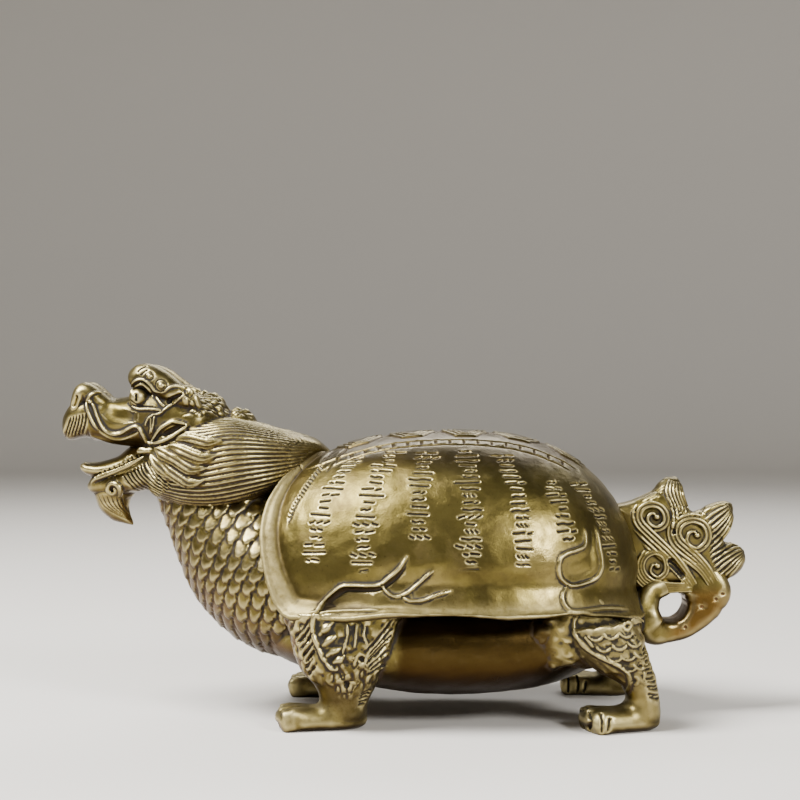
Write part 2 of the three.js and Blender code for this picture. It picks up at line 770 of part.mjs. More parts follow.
const brass = new THREE.MeshStandardMaterial({ color: 0x8a7442, roughness: 0.38, metalness: 1 });
const turtle = new THREE.Mesh(geometryOf(figure()), brass);
turtle.name = "dragon_turtle";
turtle.geometry.computeBoundingBox();
const middle = turtle.geometry.boundingBox.getCenter(new THREE.Vector3());
turtle.position.set(-middle.x, -middle.y, -turtle.geometry.boundingBox.min.z);

const model = new THREE.Group();
model.add(turtle);
export default model;
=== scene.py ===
"""Dragon turtle figure, cast in brass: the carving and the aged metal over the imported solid.

The figure is laid out in millimetres on a grid: +X to the tail, Z = 0 under the soles, Y across.
"""
import math

import bpy
import numpy as np
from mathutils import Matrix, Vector
from mathutils.kdtree import KDTree


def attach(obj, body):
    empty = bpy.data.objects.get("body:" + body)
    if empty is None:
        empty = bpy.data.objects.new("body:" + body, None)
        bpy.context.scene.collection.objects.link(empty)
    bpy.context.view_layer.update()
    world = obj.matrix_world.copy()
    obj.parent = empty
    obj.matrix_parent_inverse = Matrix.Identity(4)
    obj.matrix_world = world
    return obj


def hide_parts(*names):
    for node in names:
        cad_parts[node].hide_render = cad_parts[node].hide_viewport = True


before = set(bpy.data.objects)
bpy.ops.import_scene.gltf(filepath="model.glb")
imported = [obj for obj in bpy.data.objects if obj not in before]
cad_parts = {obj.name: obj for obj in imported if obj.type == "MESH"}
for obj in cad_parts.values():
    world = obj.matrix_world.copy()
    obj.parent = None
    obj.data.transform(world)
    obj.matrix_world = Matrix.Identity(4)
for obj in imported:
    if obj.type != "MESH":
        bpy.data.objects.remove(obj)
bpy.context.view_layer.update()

NODE = "dragon_turtle"

# Overall size in millimetres, and the grid that it stretches
LENGTH, WIDTH, HEIGHT = 110, 50, 56
GRID = np.array((109.5, 48.86, 55.8))
STRETCH = np.array((LENGTH, WIDTH, HEIGHT)) / GRID
MIDDLE = 0.743  # the grid's X halfway from nose to tail
SIDES = (-1, 1)
ACROSS = np.array((0.0, 1.0, 0.0))
MM = 0.001

# Shell
SHELL_X, SHELL_BASE, SHELL_RISE = 9, 18, 27
SHELL_FRONT, SHELL_REAR, SHELL_HALF = 36, 29.5, 23.4
PLAN_POWER, PROFILE_POWER = 2 / 2.3, 2 / 2.4
COLLAR_SPAN, COLLAR_TILT, COLLAR_CURVE = math.radians(58), math.radians(31), 2.8
COLLAR_REACH, COLLAR_NARROW, LIP_REACH, LIP_DEPTH = 2.7, 0.65, 1.1, 1.1
CORNER_REACH = 1  # how much wider the lip is at the front corners
CORNER_AT, CORNER_SPAN = math.radians(53), math.radians(10)  # where they are from the front, and how wide
REAR_DIP, FRONT_DIP = 1.7, 0.9  # how far the rim goes down behind and at the front corners
FLARE = 0.5  # how far the lip leans away from the dome
# How deep the dome's valley beside the lip is, how far from its edge, and how wide
VALLEY_DEEP, VALLEY_AT, VALLEY_SPAN = 0.75, 3.4, 2.1
RIM_WAVES = [(7, 1, 0.14), (12, 2.2, 0.1), (23, 0, 0.05)]  # waves round the rim, their phases and heights

# Size of the cells that each part is carved in, and the most triangles a piece keeps
HEAD_CELL, SHELL_CELL, BODY_CELL, TUFT_CELL = 0.16, 0.17, 0.2, 0.12
MOST_TRIANGLES = 190000


# Camera

CAMERA_AT = Vector((-0.76, -291, 50.2))
LENS, SENSOR = 80.9, 36


def camera():
    data = bpy.data.cameras.new("camera")
    data.sensor_width = SENSOR
    data.lens = LENS
    data.clip_start, data.clip_end = 0.01, 10
    made = bpy.data.objects.new("camera", data)
    made.location = CAMERA_AT * MM
    made.rotation_euler = (math.pi / 2, 0, 0)
    bpy.context.scene.collection.objects.link(made)
    bpy.context.scene.camera = made


# Numbers

def smooth(value, low, high):
    share = np.clip((value - low) / (high - low), 0, 1)
    return share * share * (3 - 2 * share)


def bend(value, power):
    return np.sign(value) * np.abs(value) ** power


def unit(vectors):
    return vectors / np.maximum(np.linalg.norm(vectors, axis=-1, keepdims=True), 1e-12)


def through(rows, share):
    """The smooth value at each share of rows of numbers, through every row."""
    rows = np.asarray(rows, float)
    place = np.clip(np.asarray(share, float), 0, 1) * (len(rows) - 1)
    first = np.minimum(place.astype(int), len(rows) - 2)
    f = (place - first)[..., None]
    a, b, c, d = (rows[np.clip(first + k, 0, len(rows) - 1)] for k in (-1, 0, 1, 2))
    return b + 0.5 * f * (c - a + f * (2 * a - 5 * b + 4 * c - d + f * (3 * b - a - 3 * c + d)))


def even(points, count):
    """A smooth line through points, as count points at even distances."""
    dense = through(points, np.linspace(0, 1, 12 * len(points)))
    gone = np.concatenate([[0], np.cumsum(np.linalg.norm(np.diff(dense, axis=0), axis=1))])
    want = np.linspace(0, gone[-1], count)
    return np.stack([np.interp(want, gone, dense[:, k]) for k in range(dense.shape[1])], -1)


def wobble(points, size, seed):
    """Smooth noise between about -1 and 1 at points, with lumps of a size."""
    draw = np.random.default_rng(seed)
    total = np.zeros(len(points))
    for _ in range(9):
        way = unit(draw.normal(size=3)) * 2 * math.pi / (size * draw.uniform(0.8, 1.9))
        total += np.sin(points @ way + draw.uniform(0, 2 * math.pi))
    return total / 4


# Closed surfaces on grids of points

def closed(grid):
    """Points and triangles of a grid whose rows go round. Its first and last rows are each one point."""
    rows, columns = grid.shape[:2]
    points = np.concatenate([grid[0, :1], grid[1:-1].reshape(-1, 3), grid[-1, :1]])
    index = 1 + np.arange((rows - 2) * columns).reshape(rows - 2, columns)
    right = np.roll(index, -1, axis=1)
    a, b, c, d = index[:-1], right[:-1], right[1:], index[1:]
    faces = [np.stack([a, b, c], -1).reshape(-1, 3), np.stack([a, c, d], -1).reshape(-1, 3)]
    last = len(points) - 1
    faces.append(np.stack([np.zeros(columns, int), right[0], index[0]], -1))
    faces.append(np.stack([np.full(columns, last), index[-1], right[-1]], -1))
    faces = np.concatenate(faces)
    corners = points[faces]
    volume = np.einsum("ij,ij->i", corners[:, 0], np.cross(corners[:, 1], corners[:, 2])).sum()
    return points, faces if volume > 0 else faces[:, ::-1]


def raised(grid, height):
    """A grid with each point moved out along the surface's normal."""
    around = np.roll(grid, -1, axis=1) - np.roll(grid, 1, axis=1)
    along = np.gradient(grid, axis=0)
    normal = unit(np.cross(around, along))
    outward = grid - grid.mean(axis=1, keepdims=True)
    middle = slice(len(grid) // 4, 3 * len(grid) // 4)
    if (normal[middle] * outward[middle]).sum() < 0:
        normal = -normal
    height = np.array(height, float)
    height[[0, -1]] = 0
    return grid + normal * height[..., None]


def loft(rows, around=48, along=40, square=2, relief=None):
    """A body along a spine of rows [x, y, z, half across, half high]. relief gives the height over it, from
    the share round it, the share along it and its points."""
    power = 2 / square
    step = 0.01
    u = np.arange(around)[None, :] / around
    v = np.linspace(0, 1, along)[:, None]
    u, v = np.broadcast_arrays(u, v)
    row = through(rows, v)
    before, after = through(rows, np.maximum(0, v - step)), through(rows, np.minimum(1, v + step))
    ahead = unit(after[..., :3] - before[..., :3])
    side = unit(ACROSS - (ahead @ ACROSS)[..., None] * ahead)
    up = np.cross(ahead, side)
    angle = u * 2 * math.pi
    wide = np.maximum(0, row[..., 3]) * bend(np.cos(angle), power)
    high = np.maximum(0, row[..., 4]) * bend(np.sin(angle), power)
    grid = row[..., :3] + side * wide[..., None] + up * high[..., None]
    if relief is not None:
        grid = raised(grid, relief(u, v, grid))
    return closed(grid)


def tube(points, radius, sides=10, steps=48, blunt=0.5, across=(0, 1, 0), flat=1.0, grooves=0, depth=0.0):
    """A rounded strand through points, thinner towards both ends. flat squeezes it towards the surface, and
    grooves run along it."""
    path = even(points, steps)
    ahead = unit(np.gradient(path, axis=0))
    reference = np.array(across, float)
    side = unit(reference - (ahead @ reference)[:, None] * ahead)
    up = np.cross(side, ahead)
    v = np.linspace(0, 1, steps)
    thick = radius * np.minimum(1, np.sin(math.pi * v) ** blunt * 1.15)
    angle = np.arange(sides) / sides * 2 * math.pi
    cut = 1 - depth * (0.5 + 0.5 * np.cos(2 * grooves * angle))
    wide = thick[:, None] * (np.cos(angle) * flat * cut)[None]
    high = thick[:, None] * (np.sin(angle) * cut)[None]
    return closed(path[:, None] + side[:, None] * wide[..., None] + up[:, None] * high[..., None])


def ball(x, y, z, radius):
    angle = np.arange(24) / 24 * 2 * math.pi
    tilt = np.linspace(0, math.pi, 16)[:, None]
    flat = np.sin(tilt)
    way = np.stack(np.broadcast_arrays(np.cos(angle) * flat, np.sin(angle) * flat, np.cos(tilt)), -1)
    return closed(np.array((x, y, z)) + way * radius)


# Meshes

def mesh_of(name, shells):
    """One mesh from closed surfaces given as (points, triangles)."""
    points, faces, offset = [], [], 0
    for p, f in shells:
        points.append(p)
        faces.append(f + offset)
        offset += len(p)
    points, faces = np.concatenate(points), np.concatenate(faces)
    mesh = bpy.data.meshes.new(name)
    mesh.vertices.add(len(points))
    mesh.vertices.foreach_set("co", points.astype(np.float32).ravel())
    mesh.loops.add(faces.size)
    mesh.loops.foreach_set("vertex_index", faces.astype(np.int32).ravel())
    mesh.polygons.add(len(faces))
    mesh.polygons.foreach_set("loop_start", np.arange(0, faces.size, 3, dtype=np.int32))
    mesh.update(calc_edges=True)
    made = bpy.data.objects.new(name, mesh)
    bpy.context.scene.collection.objects.link(made)
    return made


def applied(made, kind, **settings):
    """The object's mesh after a modifier."""
    modifier = made.modifiers.new(kind, kind)
    for name, value in settings.items():
        setattr(modifier, name, value)
    graph = bpy.context.evaluated_depsgraph_get()
    new = bpy.data.meshes.new_from_object(made.evaluated_get(graph), depsgraph=graph)
    made.modifiers.clear()
    old = made.data
    made.data = new
    bpy.data.meshes.remove(old)
    return made


def fused(name, shells, cell):
    """The shells joined as one skin on a grid of small cells."""
    made = mesh_of(name, shells)
    return applied(made, "REMESH", mode="VOXEL", voxel_size=cell, adaptivity=0)


def read(made, what="co"):
    out = np.empty(len(made.data.vertices) * 3, np.float32)
    if what == "co":
        made.data.vertices.foreach_get("co", out)
    else:
        made.data.vertex_normals.foreach_get("vector", out)
    return out.reshape(-1, 3).astype(float)


def write(made, points):
    made.data.vertices.foreach_set("co", points.astype(np.float32).ravel())
    made.data.update()


def edges_of(made):
    out = np.empty(len(made.data.edges) * 2, np.int32)
    made.data.edges.foreach_get("vertices", out)
    return out.reshape(-1, 2)


def settled(points, edges, rounds, share=0.5):
    """Points pulled towards the middle of their neighbours."""
    count = len(points)
    a, b = edges[:, 0], edges[:, 1]
    near = np.bincount(a, minlength=count) + np.bincount(b, minlength=count)
    near = np.maximum(near, 1)[:, None]
    for _ in range(rounds):
        total = [np.bincount(a, p[b], count) + np.bincount(b, p[a], count) for p in points.T]
        points = points + share * (np.stack(total, -1) / near - points)
    return points


def nearest(points, samples):
    """For each point, how far the nearest sample is, and which one it is."""
    tree = KDTree(len(samples))
    for i, s in enumerate(samples):
        tree.insert(s, i)
    tree.balance()
    found = [tree.find(p)[1:] for p in points.tolist()]
    which, far = zip(*found)
    return np.array(far), np.array(which)


# Lines drawn on a surface as seen from the side

LINE_STEP = 0.08  # from one sample of a line to the next


def family(first, last, count):
    """Lines that turn from one into another."""
    first, last = even(first, 24), even(last, 24)
    return [first + (last - first) * i / max(1, count - 1) for i in range(count)]


class Drawing:
    """Grooves and ridges that a surface takes. Lines of two numbers are X and Z, and show on what faces
    either side. Lines of three lie where they are."""

    def __init__(self):
        self.samples, self.rise, self.wide, self.edge = [], [], [], []

    def add(self, lines, rise, wide, edge=0.0, taper=True, pointed=False):
        """Lines of a height, below zero for a groove, and half width. edge is how high its rims are."""
        for line in lines:
            length = np.linalg.norm(np.diff(even(line, 16), axis=0), axis=1).sum()
            points = even(line, max(4, int(length / LINE_STEP)))
            v = np.linspace(0, 1, len(points))
            if pointed:
                strength = np.sin(math.pi * v)
            elif taper:
                strength = np.minimum(1, 1.8 * np.sin(math.pi * v) ** 0.7)
            else:
                strength = np.ones(len(points))
            self.samples.append(points)
            self.rise.append(rise * strength)
            self.wide.append(wide * (0.2 + 0.8 * strength if pointed else 0.6 + 0.4 * strength))
            self.edge.append(edge * strength)

    def dot(self, x, z, rise, radius, edge=0.0):
        """A pit, or a bead where rise is above zero."""
        self.add([np.array(((x, z), (x + 0.02, z)))], rise, radius, edge, taper=False)

    def height(self, points, normals, facing=0.25):
        """How far each point moves along its normal."""
        samples = np.concatenate(self.samples)
        rise, wide, edge = (np.concatenate(x) for x in (self.rise, self.wide, self.edge))
        out = np.zeros(len(points))
        low, high = samples.min(0) - 1, samples.max(0) + 1
        flat = samples.shape[1] == 2
        seen = points[:, (0, 2)] if flat else points
        use = np.all((seen > low) & (seen < high), axis=1)
        toward = np.abs(normals[:, 1])
        if flat:
            use &= toward > facing * 0.5
        chosen = np.flatnonzero(use)
        if not len(chosen):
            return out
        padding = ((0, 0), (0, 3 - samples.shape[1]))
        far, which = nearest(np.pad(seen[chosen], padding), np.pad(samples, padding).tolist())
        share = far / wide[which]
        body = 1 - smooth(share, 0.1, 1)
        rim = edge[which] * np.exp(-(((share - 1.7) / 0.6) ** 2))
        out[chosen] = rise[which] * body + rim
        return out * smooth(toward, facing * 0.5, facing) if flat else out


SCALE_LONG, SCALE_STRAIGHT = 1.7, 0.5  # a scale's length in rows, and the share before its round end


def scales(row, column, crown, lean=0.0):
    """The height, 0 to 1, of rounded scales that overlap downward. Each scale is one column wide and starts
    at a whole row, and every other row is half a column across. lean moves its tip to lower columns."""
    best = np.zeros(np.shape(row))
    start = np.floor(row)
    for back in (0, 1):
        number = start - back
        s = (row - number) / SCALE_LONG
        t = column - 0.5 * (number % 2) + lean * s
        t = t - np.round(t)
        end = np.clip((s - SCALE_STRAIGHT) / (1 - SCALE_STRAIGHT), 0, 1)
        half = 0.5 * np.sqrt(np.clip(1 - end**2, 0, 1))
        inside = smooth(half - np.abs(t), 0, 0.09) * (s < 1)
        rise = 0.42 + 0.58 * s - crown * (t / 0.5) ** 2
        best = np.maximum(best, inside * rise)
    return best


# Shell

def dome(angle, tilt, proud=0.0):
    reach = np.where(np.cos(angle) < 0, SHELL_FRONT, SHELL_REAR)
    out = np.sin(tilt) ** PROFILE_POWER
    lift = np.maximum(0, np.cos(tilt)) ** PROFILE_POWER
    front = smooth(-np.cos(angle), 0.2, 0.5) * (1 - smooth(-np.cos(angle), 0.75, 0.92))
    dip = (REAR_DIP * smooth(np.cos(angle), 0.5, 0.95) + FRONT_DIP * front) * (1 - lift) ** 2
    return np.stack(
        np.broadcast_arrays(
            SHELL_X + (reach + proud) * bend(np.cos(angle), PLAN_POWER) * out,
            (SHELL_HALF + proud) * bend(np.sin(angle), PLAN_POWER) * out,
            SHELL_BASE - dip + (SHELL_RISE + proud) * lift,
        ),
        -1,
    )


def lip_reach(angle):
    forward = np.maximum(0, -np.cos(angle))
    narrow = 1 - COLLAR_NARROW * smooth(forward, 0.8, 0.94)
    corner = np.exp(-(((np.abs(angle - math.pi) - CORNER_AT) / CORNER_SPAN) ** 2))
    return (LIP_REACH + (COLLAR_REACH - LIP_REACH) * forward) * narrow + CORNER_REACH * corner


def lip_tilt(angle):
    share = np.minimum(1, np.abs(angle - math.pi) / COLLAR_SPAN)
    rising = COLLAR_TILT + (math.pi / 2 - COLLAR_TILT) * np.sin(share * math.pi / 2) ** COLLAR_CURVE
    room = (0.1 + 0.8 * lip_reach(angle)) / SHELL_RISE
    return np.minimum(rising, np.arccos(room ** (1 / PROFILE_POWER)))


def shell():
    """The dome, its lip and the underside, as one grid from the top round the lip to a point below."""
    columns, dome_rows, lip_rows, settling = 720, 200, 16, 9
    angle = np.arange(columns) / columns * 2 * math.pi
    tilt = lip_tilt(angle)
    rows = [dome(angle, share * tilt) for share in np.linspace(0, 1, dome_rows)]
    edge = rows[-1].copy()
    away = unit(dome(angle, tilt, 1) - edge)
    ahead = unit(dome(angle + 0.02, lip_tilt(angle + 0.02)) - edge)
    flare = unit(FLARE * away + math.sqrt(1 - FLARE**2) * unit(np.cross(ahead, away)))
    face = -unit(np.cross(ahead, flare))
    forward = np.maximum(0, -np.cos(angle))[:, None]
    reach = lip_reach(angle)[:, None]
    beside = 1 - smooth(forward, 0.15, 0.55)
    for row in rows[1:]:
        gap = np.linalg.norm(row - edge, axis=1, keepdims=True)
        row -= away * beside * VALLEY_DEEP * np.exp(-(((gap - VALLEY_AT) / VALLEY_SPAN) ** 2))
    half = LIP_DEPTH / 2
    top = half * smooth(forward, 0, 0.4)
    wave = sum(high * np.sin(number * angle + phase) for number, phase, high in RIM_WAVES)
    lift = np.array((0, 0, 1.0)) * wave[:, None]
    for share in np.linspace(0.06, 1, lip_rows):
        bead = 0.2 * smooth(share, 0.75, 0.95)
        rows.append(edge + flare * reach * share + face * (top * smooth(share, 0, 0.4) + bead) + lift * share)
    grid = np.stack(rows)
    for _ in range(settling):
        window = slice(dome_rows - 8, dome_rows + 7)
        before, after = slice(dome_rows - 9, dome_rows + 6), slice(dome_rows - 7, dome_rows + 8)
        grid[window] += 0.5 * ((grid[before] + grid[after]) / 2 - grid[window])
    rows = list(grid)
    middle, thick = (top - half) / 2 + 0.1, (top + half) / 2 + 0.1
    for turn in np.radians(np.linspace(70, -90, 8)):
        out = reach + 0.6 * thick * math.cos(turn)
        rows.append(edge + flare * out + face * (middle + thick * math.sin(turn)) + lift)
    for share in (0.7, 0.3, -0.2):
        rows.append(edge + flare * reach * share - face * half)
    pole = np.array((SHELL_X, 0, SHELL_BASE - 4))
    last = rows[-1]
    for share in (0.8, 0.6, 0.4, 0.2, 0):
        rows.append(pole + (last - pole) * share)
    return closed(np.stack(rows))


# Raised lines of the shell as they show from the side, in X and Z: a vine in front and a cloud behind
TRUNK = [
    (-13.1, 17.4), (-11.9, 19.1), (-10.4, 20.8), (-8.7, 22.1), (-7, 22.3), (-4.9, 22.3), (-3, 22.5),
    (-1.7, 23.5), (-0.4, 24.6), (0.6, 26), (1.2, 27.1),
]
BRANCHES = [
    [(-2.8, 22.5), (-1.9, 21.4), (-0.7, 20.8), (0.8, 21.2), (2.5, 22.5), (4, 23.9), (5.1, 24.8)],
    [(0.2, 20.9), (1.5, 20.2), (3.4, 20.3), (5.3, 21), (7.6, 21.7)],
]
CLOUD = [
    (28, 30.8), (28.1, 29.3), (27.8, 28), (26.5, 27.4), (25, 27), (24, 26.3), (23.7, 24.9), (24, 23.4),
    (25.2, 22.3), (26.3, 22.1), (28, 22.4), (29.6, 23), (30.5, 24.3), (30.6, 25.9), (30.3, 27.6),
    (30.1, 29.5), (29.8, 31),
]
LOWER_CLOUD = [
    (25.2, 22.1), (24.4, 21.1), (24.3, 20), (25, 18.8), (26.1, 18.3), (27.7, 18.3), (31, 18.4), (35.3, 17.8),
]
RIM_LINE = [(-13.6, 18.3), (-11, 18.5), (-8, 18.7), (-5.5, 18.8), (-3, 18.9)]
VINE_SHADOW = [
    (-10.2, 20), (-8.4, 21.4), (-6.9, 21.6), (-4.9, 21.6), (-3.1, 21.8), (-1.3, 22.8), (0, 24), (1, 25.4),
]
HOLLOW_DEEP, CLOUD_DEEP = 0.6, 0.3  # how deep the hollows under the vine and inside the cloud are
COLLAR_TICKS = [(-16.9, 32), (-16.1, 33.9), (-15, 35.8), (-13.6, 37.9), (-12.3, 39.6)]
COLLAR_LINES = [
    [(-17.2, 30.9), (-16.3, 33.2), (-15.3, 35.3)], [(-11.4, 38.9), (-9.7, 41.1), (-8.1, 42.6)],
    [(-12.6, 39.9), (-11.2, 41.4), (-9.6, 42.9)],
]
# Columns of strokes on each side of the dome: plan angle at the top and the bottom, then the tilts there, in
# degrees
COLUMNS = [
    (131, 126, 33, 77), (116, 111, 29, 80), (101, 98, 29, 70), (87, 88, 28, 80), (71, 74, 31, 81),
    (55, 58, 46, 71), (39, 37, 47, 80),
]
STROKE_WIDE, STROKE_DEEP, STROKE_RIM = 0.24, 0.3, 0.03
STROKE_SPAN, STROKE_PITCH = 3.7, 1.16
# Plates along the back, between two cut lines each, and a border round them with ticks between its lines
FIRST_PLATE, LAST_PLATE, PLATES, PLATE_GAP, PLATE_HALF = -6.5, 27, 5, 0.8, 7.6
PLATE_RISE = 0.3
PLATE_LINES = (1, 1.8)  # how far the cut lines lie inside a plate's edge
BORDER_MIDDLE, BORDER_STRAIGHT, BORDER_LINES = 10.2, 21.5, (9, 10.9)
TICK_PITCH = 2.2
CUT_DEEP, TICK_DEEP = 0.26, 0.22
BACK = (38.5, 40.5)  # the heights between which the carving of the back begins


def inside(points, outline):
    """Whether points of a plane are inside an outline."""
    x, y = points[:, 0], points[:, 1]
    hit = np.zeros(len(points), bool)
    for (x0, y0), (x1, y1) in zip(outline, [*outline[1:], outline[0]]):
        if y0 != y1:
            crosses = (y0 > y) != (y1 > y)
            hit ^= crosses & (x < (x1 - x0) * (y - y0) / (y1 - y0) + x0)
    return hit


# Strokes of one row in a column, across and down, as shares of its width and height. They form no letter.
STROKE_ROWS = [
    [[(-0.48, 0.06), (0.48, -0.08)]],
    [[(-0.48, -0.07), (-0.08, 0.05)], [(0.12, -0.09), (0.48, 0.02)]],
    [[(-0.46, 0.13), (-0.24, -0.13)], [(-0.08, 0.13), (0.14, -0.13)], [(0.3, 0.13), (0.5, -0.13)]],
    [[(-0.46, 0.02), (0.08, -0.09)], [(0.26, 0.08), (0.47, -0.02)]],
    [[(-0.4, -0.06), (-0.12, 0.06), (0.14, -0.04), (0.42, 0.07)]],
    [[(-0.3, 0.05), (0.34, -0.06)]],
]


def stroke_lines():
    """Rows of strokes down every column, laid on the dome."""
    draw = np.random.default_rng(21)
    lines = []
    last = -1
    for top_angle, bottom_angle, top_tilt, bottom_tilt in COLUMNS:
        tilt = np.radians(np.linspace(top_tilt, bottom_tilt, 80))
        angle = np.radians(np.linspace(top_angle, bottom_angle, 80))
        path = dome(angle, tilt)
        gone = np.concatenate([[0], np.cumsum(np.linalg.norm(np.diff(path, axis=0), axis=1))])
        metric = np.linalg.norm(dome(angle + 0.01, tilt) - path, axis=1) / 0.01
        count = max(1, round(gone[-1] / STROKE_PITCH))
        pitch = gone[-1] / count
        for row in range(count):
            kind = (last + draw.integers(1, len(STROKE_ROWS))) % len(STROKE_ROWS)
            last = kind
            flip = draw.choice(SIDES)
            wide = STROKE_SPAN * (0.72 + 0.28 * math.sin(row * 1.45 + top_angle)) * draw.uniform(0.9, 1.05)
            shift = draw.uniform(-0.25, 0.25)
            for stroke in STROKE_ROWS[kind]:
                local = even(stroke, 14) if len(stroke) > 2 else np.array(stroke)
                down = (row + 0.5 + local[:, 1]) * pitch
                turn = np.interp(down, gone, angle)
                turn = turn + (local[:, 0] * flip * wide + shift) / np.interp(down, gone, metric)
                lean = np.interp(down, gone, tilt)
                for sign in SIDES:
                    lines.append(dome(sign * turn, lean))
    return lines


def plate_height(points):
    """Plates along the back and the lines cut round them, seen from above."""
    height = np.zeros(len(points))
    pitch = (LAST_PLATE - FIRST_PLATE) / (PLATES - 1)
    half = (pitch - PLATE_GAP) / 2
    top = smooth(points[:, 2], *BACK)
    for i in range(PLATES):
        wide = PLATE_HALF * (1 - 0.07 * abs(i - (PLATES - 1) / 2))
        x, y = np.abs(points[:, 0] - FIRST_PLATE - i * pitch), np.abs(points[:, 1])
        slope = unit(np.array((wide * 0.5, half * 0.55)))
        out = np.maximum.reduce([x - half, y - wide, (x - half) * slope[0] + (y - wide * 0.5) * slope[1]])
        height += PLATE_RISE * smooth(-out, 0, 0.4) * top
        for inset in PLATE_LINES:
            height -= CUT_DEEP * (1 - smooth(np.abs(out + inset), 0.08, 0.26)) * top
    beyond = np.maximum(np.abs(points[:, 0] - BORDER_MIDDLE) - BORDER_STRAIGHT, 0)
    band = beyond**2 * 0.1 + np.abs(points[:, 1])
    for place in BORDER_LINES:
        height -= CUT_DEEP * (1 - smooth(np.abs(band - place), 0.08, 0.28)) * top
    tick = np.abs(np.abs(points[:, 0]) % TICK_PITCH - TICK_PITCH / 2)
    between = smooth(band, 9.2, 9.5) * (1 - smooth(band, 10.3, 10.6))
    return height - TICK_DEEP * (1 - smooth(tick, 0.1, 0.3)) * between * top


def unevenness(points, size):
    """The slight lumps and dips of a sand casting."""
    return size * (wobble(points, 7, 3) + 0.5 * wobble(points, 2.6, 4) + 0.22 * wobble(points, 1.1, 5))


def vine_hollow(seen):
    """How deep the shell is hollowed below the vine."""
    vine = even(TRUNK, 60)
    below = np.interp(seen[:, 0], vine[:, 0], vine[:, 1], left=0, right=0) - seen[:, 1]
    share = below / np.maximum(0.5, below + seen[:, 1] - SHELL_BASE)
    along = smooth(seen[:, 0], -14.5, -12) * (1 - smooth(seen[:, 0], -7.5, -3.4))
    return HOLLOW_DEEP * smooth(below, 0, 0.7) * (1 - smooth(share, 0.45, 1)) * along


def collar_ticks():
    """Short cuts across a line on the collar."""
    ticks = even(COLLAR_TICKS, 16)
    ahead = unit(np.gradient(ticks, axis=0))
    across = np.stack([ahead[:, 1], -ahead[:, 0]], -1) * 0.25
    return [np.array((p - a, p + a)) for p, a in zip(ticks, across)]


def shell_drawing():
    d = Drawing()
    d.add([TRUNK], 0.5, 0.5)
    d.add(BRANCHES, 0.38, 0.42)
    d.add([RIM_LINE], 0.34, 0.3)
    d.add([VINE_SHADOW], -0.3, 0.3)
    d.add([CLOUD, LOWER_CLOUD], 0.4, 0.5)
    d.add(COLLAR_LINES, -0.2, 0.2, 0.03)
    d.add(collar_ticks(), -0.18, 0.16, 0.03, taper=False)
    return d


def shell_height(points, normals):
    seen = points[:, (0, 2)]
    side = smooth(np.abs(normals[:, 1]), 0.1, 0.3) * smooth(normals[:, 2], -0.75, -0.55)
    height = plate_height(points) + unevenness(points, 0.07)
    height -= vine_hollow(seen) * side
    cloud_edge = Drawing()
    cloud_edge.add([[*CLOUD, CLOUD[0]]], 1, 2.2, taper=False)
    middle = 1 - smooth(cloud_edge.height(points, normals), 0.1, 1)
    height -= CLOUD_DEEP * inside(seen, CLOUD) * middle * side
    height += shell_drawing().height(points, normals, 0.15)
    marks = Drawing()
    marks.add(stroke_lines(), -STROKE_DEEP, STROKE_WIDE, STROKE_RIM, taper=False)
    return height + marks.height(points, normals)


# Body

BELLY = [
    [-23, 0, 17, 0, 0], [-20, 0, 16, 9, 5], [-15, 0, 14.2, 14.4, 6.4], [-7, 0, 12.8, 18, 7.5],
    [2, 0, 12.1, 19.5, 8.3], [12, 0, 12, 19.5, 8.4], [21, 0, 12.6, 18.5, 7.9], [29, 0, 14, 15.5, 6.4],
    [35.6, 0, 15.7, 10, 4.4], [38.6, 0, 16.4, 5.6, 3.4], [40.2, 0, 16.8, 0, 0],
]
NECK = [
    [-9, 0, 21, 0, 0], [-10, 0, 21, 9, 8], [-13, 0, 21.4, 15.6, 12.8], [-18.5, 0, 22.9, 15.2, 13.5],
    [-23.6, 0, 26, 13.2, 12.2], [-27.6, 0, 30, 10.8, 9.9], [-30.6, 0, 34, 8.6, 8], [-33.2, 0, 38, 7, 6.8],
    [-35, 0, 41.4, 5.6, 5.4], [-35.4, 0, 42, 0, 0],
]
NECK_TOP = 43.2
NECK_PITCH, NECK_WIDE = 2, 2.5  # height and width that a scale shows
NECK_RISE, NECK_SUNK = 0.85, 0.45  # how high the scales stand, and how far they are sunk
STRIP_HALF, STRIP_MORE = 1.2, 1.6  # half width of the strip down the chest, and how much wider it gets below
NECK_TURN = 0.45  # how fast columns follow one another round the chest


def neck():
    """The neck under scales. A plain strip runs down the middle of the chest."""
    def relief(u, v, grid):
        quarter = grid.shape[1] // 4
        ring = np.roll(grid, -quarter, axis=1)
        step = np.linalg.norm(np.roll(ring, -1, axis=1) - ring, axis=2)
        gone = np.cumsum(step, axis=1) - step
        arc = np.roll(np.minimum(gone, gone[:, -1:] + step[:, -1:] - gone), quarter, axis=1)
        down = (NECK_TOP - grid[..., 2]) / NECK_PITCH
        warp = wobble(grid.reshape(-1, 3), 7, 14).reshape(down.shape)
        wide = STRIP_HALF + STRIP_MORE * (1 - smooth(grid[..., 2], 22, 32))
        strip = 1 - smooth(arc, wide, wide + 0.9)
        across = np.abs(grid[..., 1])
        column = (grid[..., 0] + NECK_TURN * (across - across.max(axis=1, keepdims=True))) / NECK_WIDE
        bump = scales(down + 0.15 * warp, column + 0.12 * warp, crown=0.1, lean=0.5)
        edge = 0.55 + 0.12 * np.abs(np.sin(math.pi * down))
        return NECK_RISE * (bump * (1 - strip) + edge * strip) - NECK_SUNK

    return loft(NECK, around=440, along=260, relief=relief)


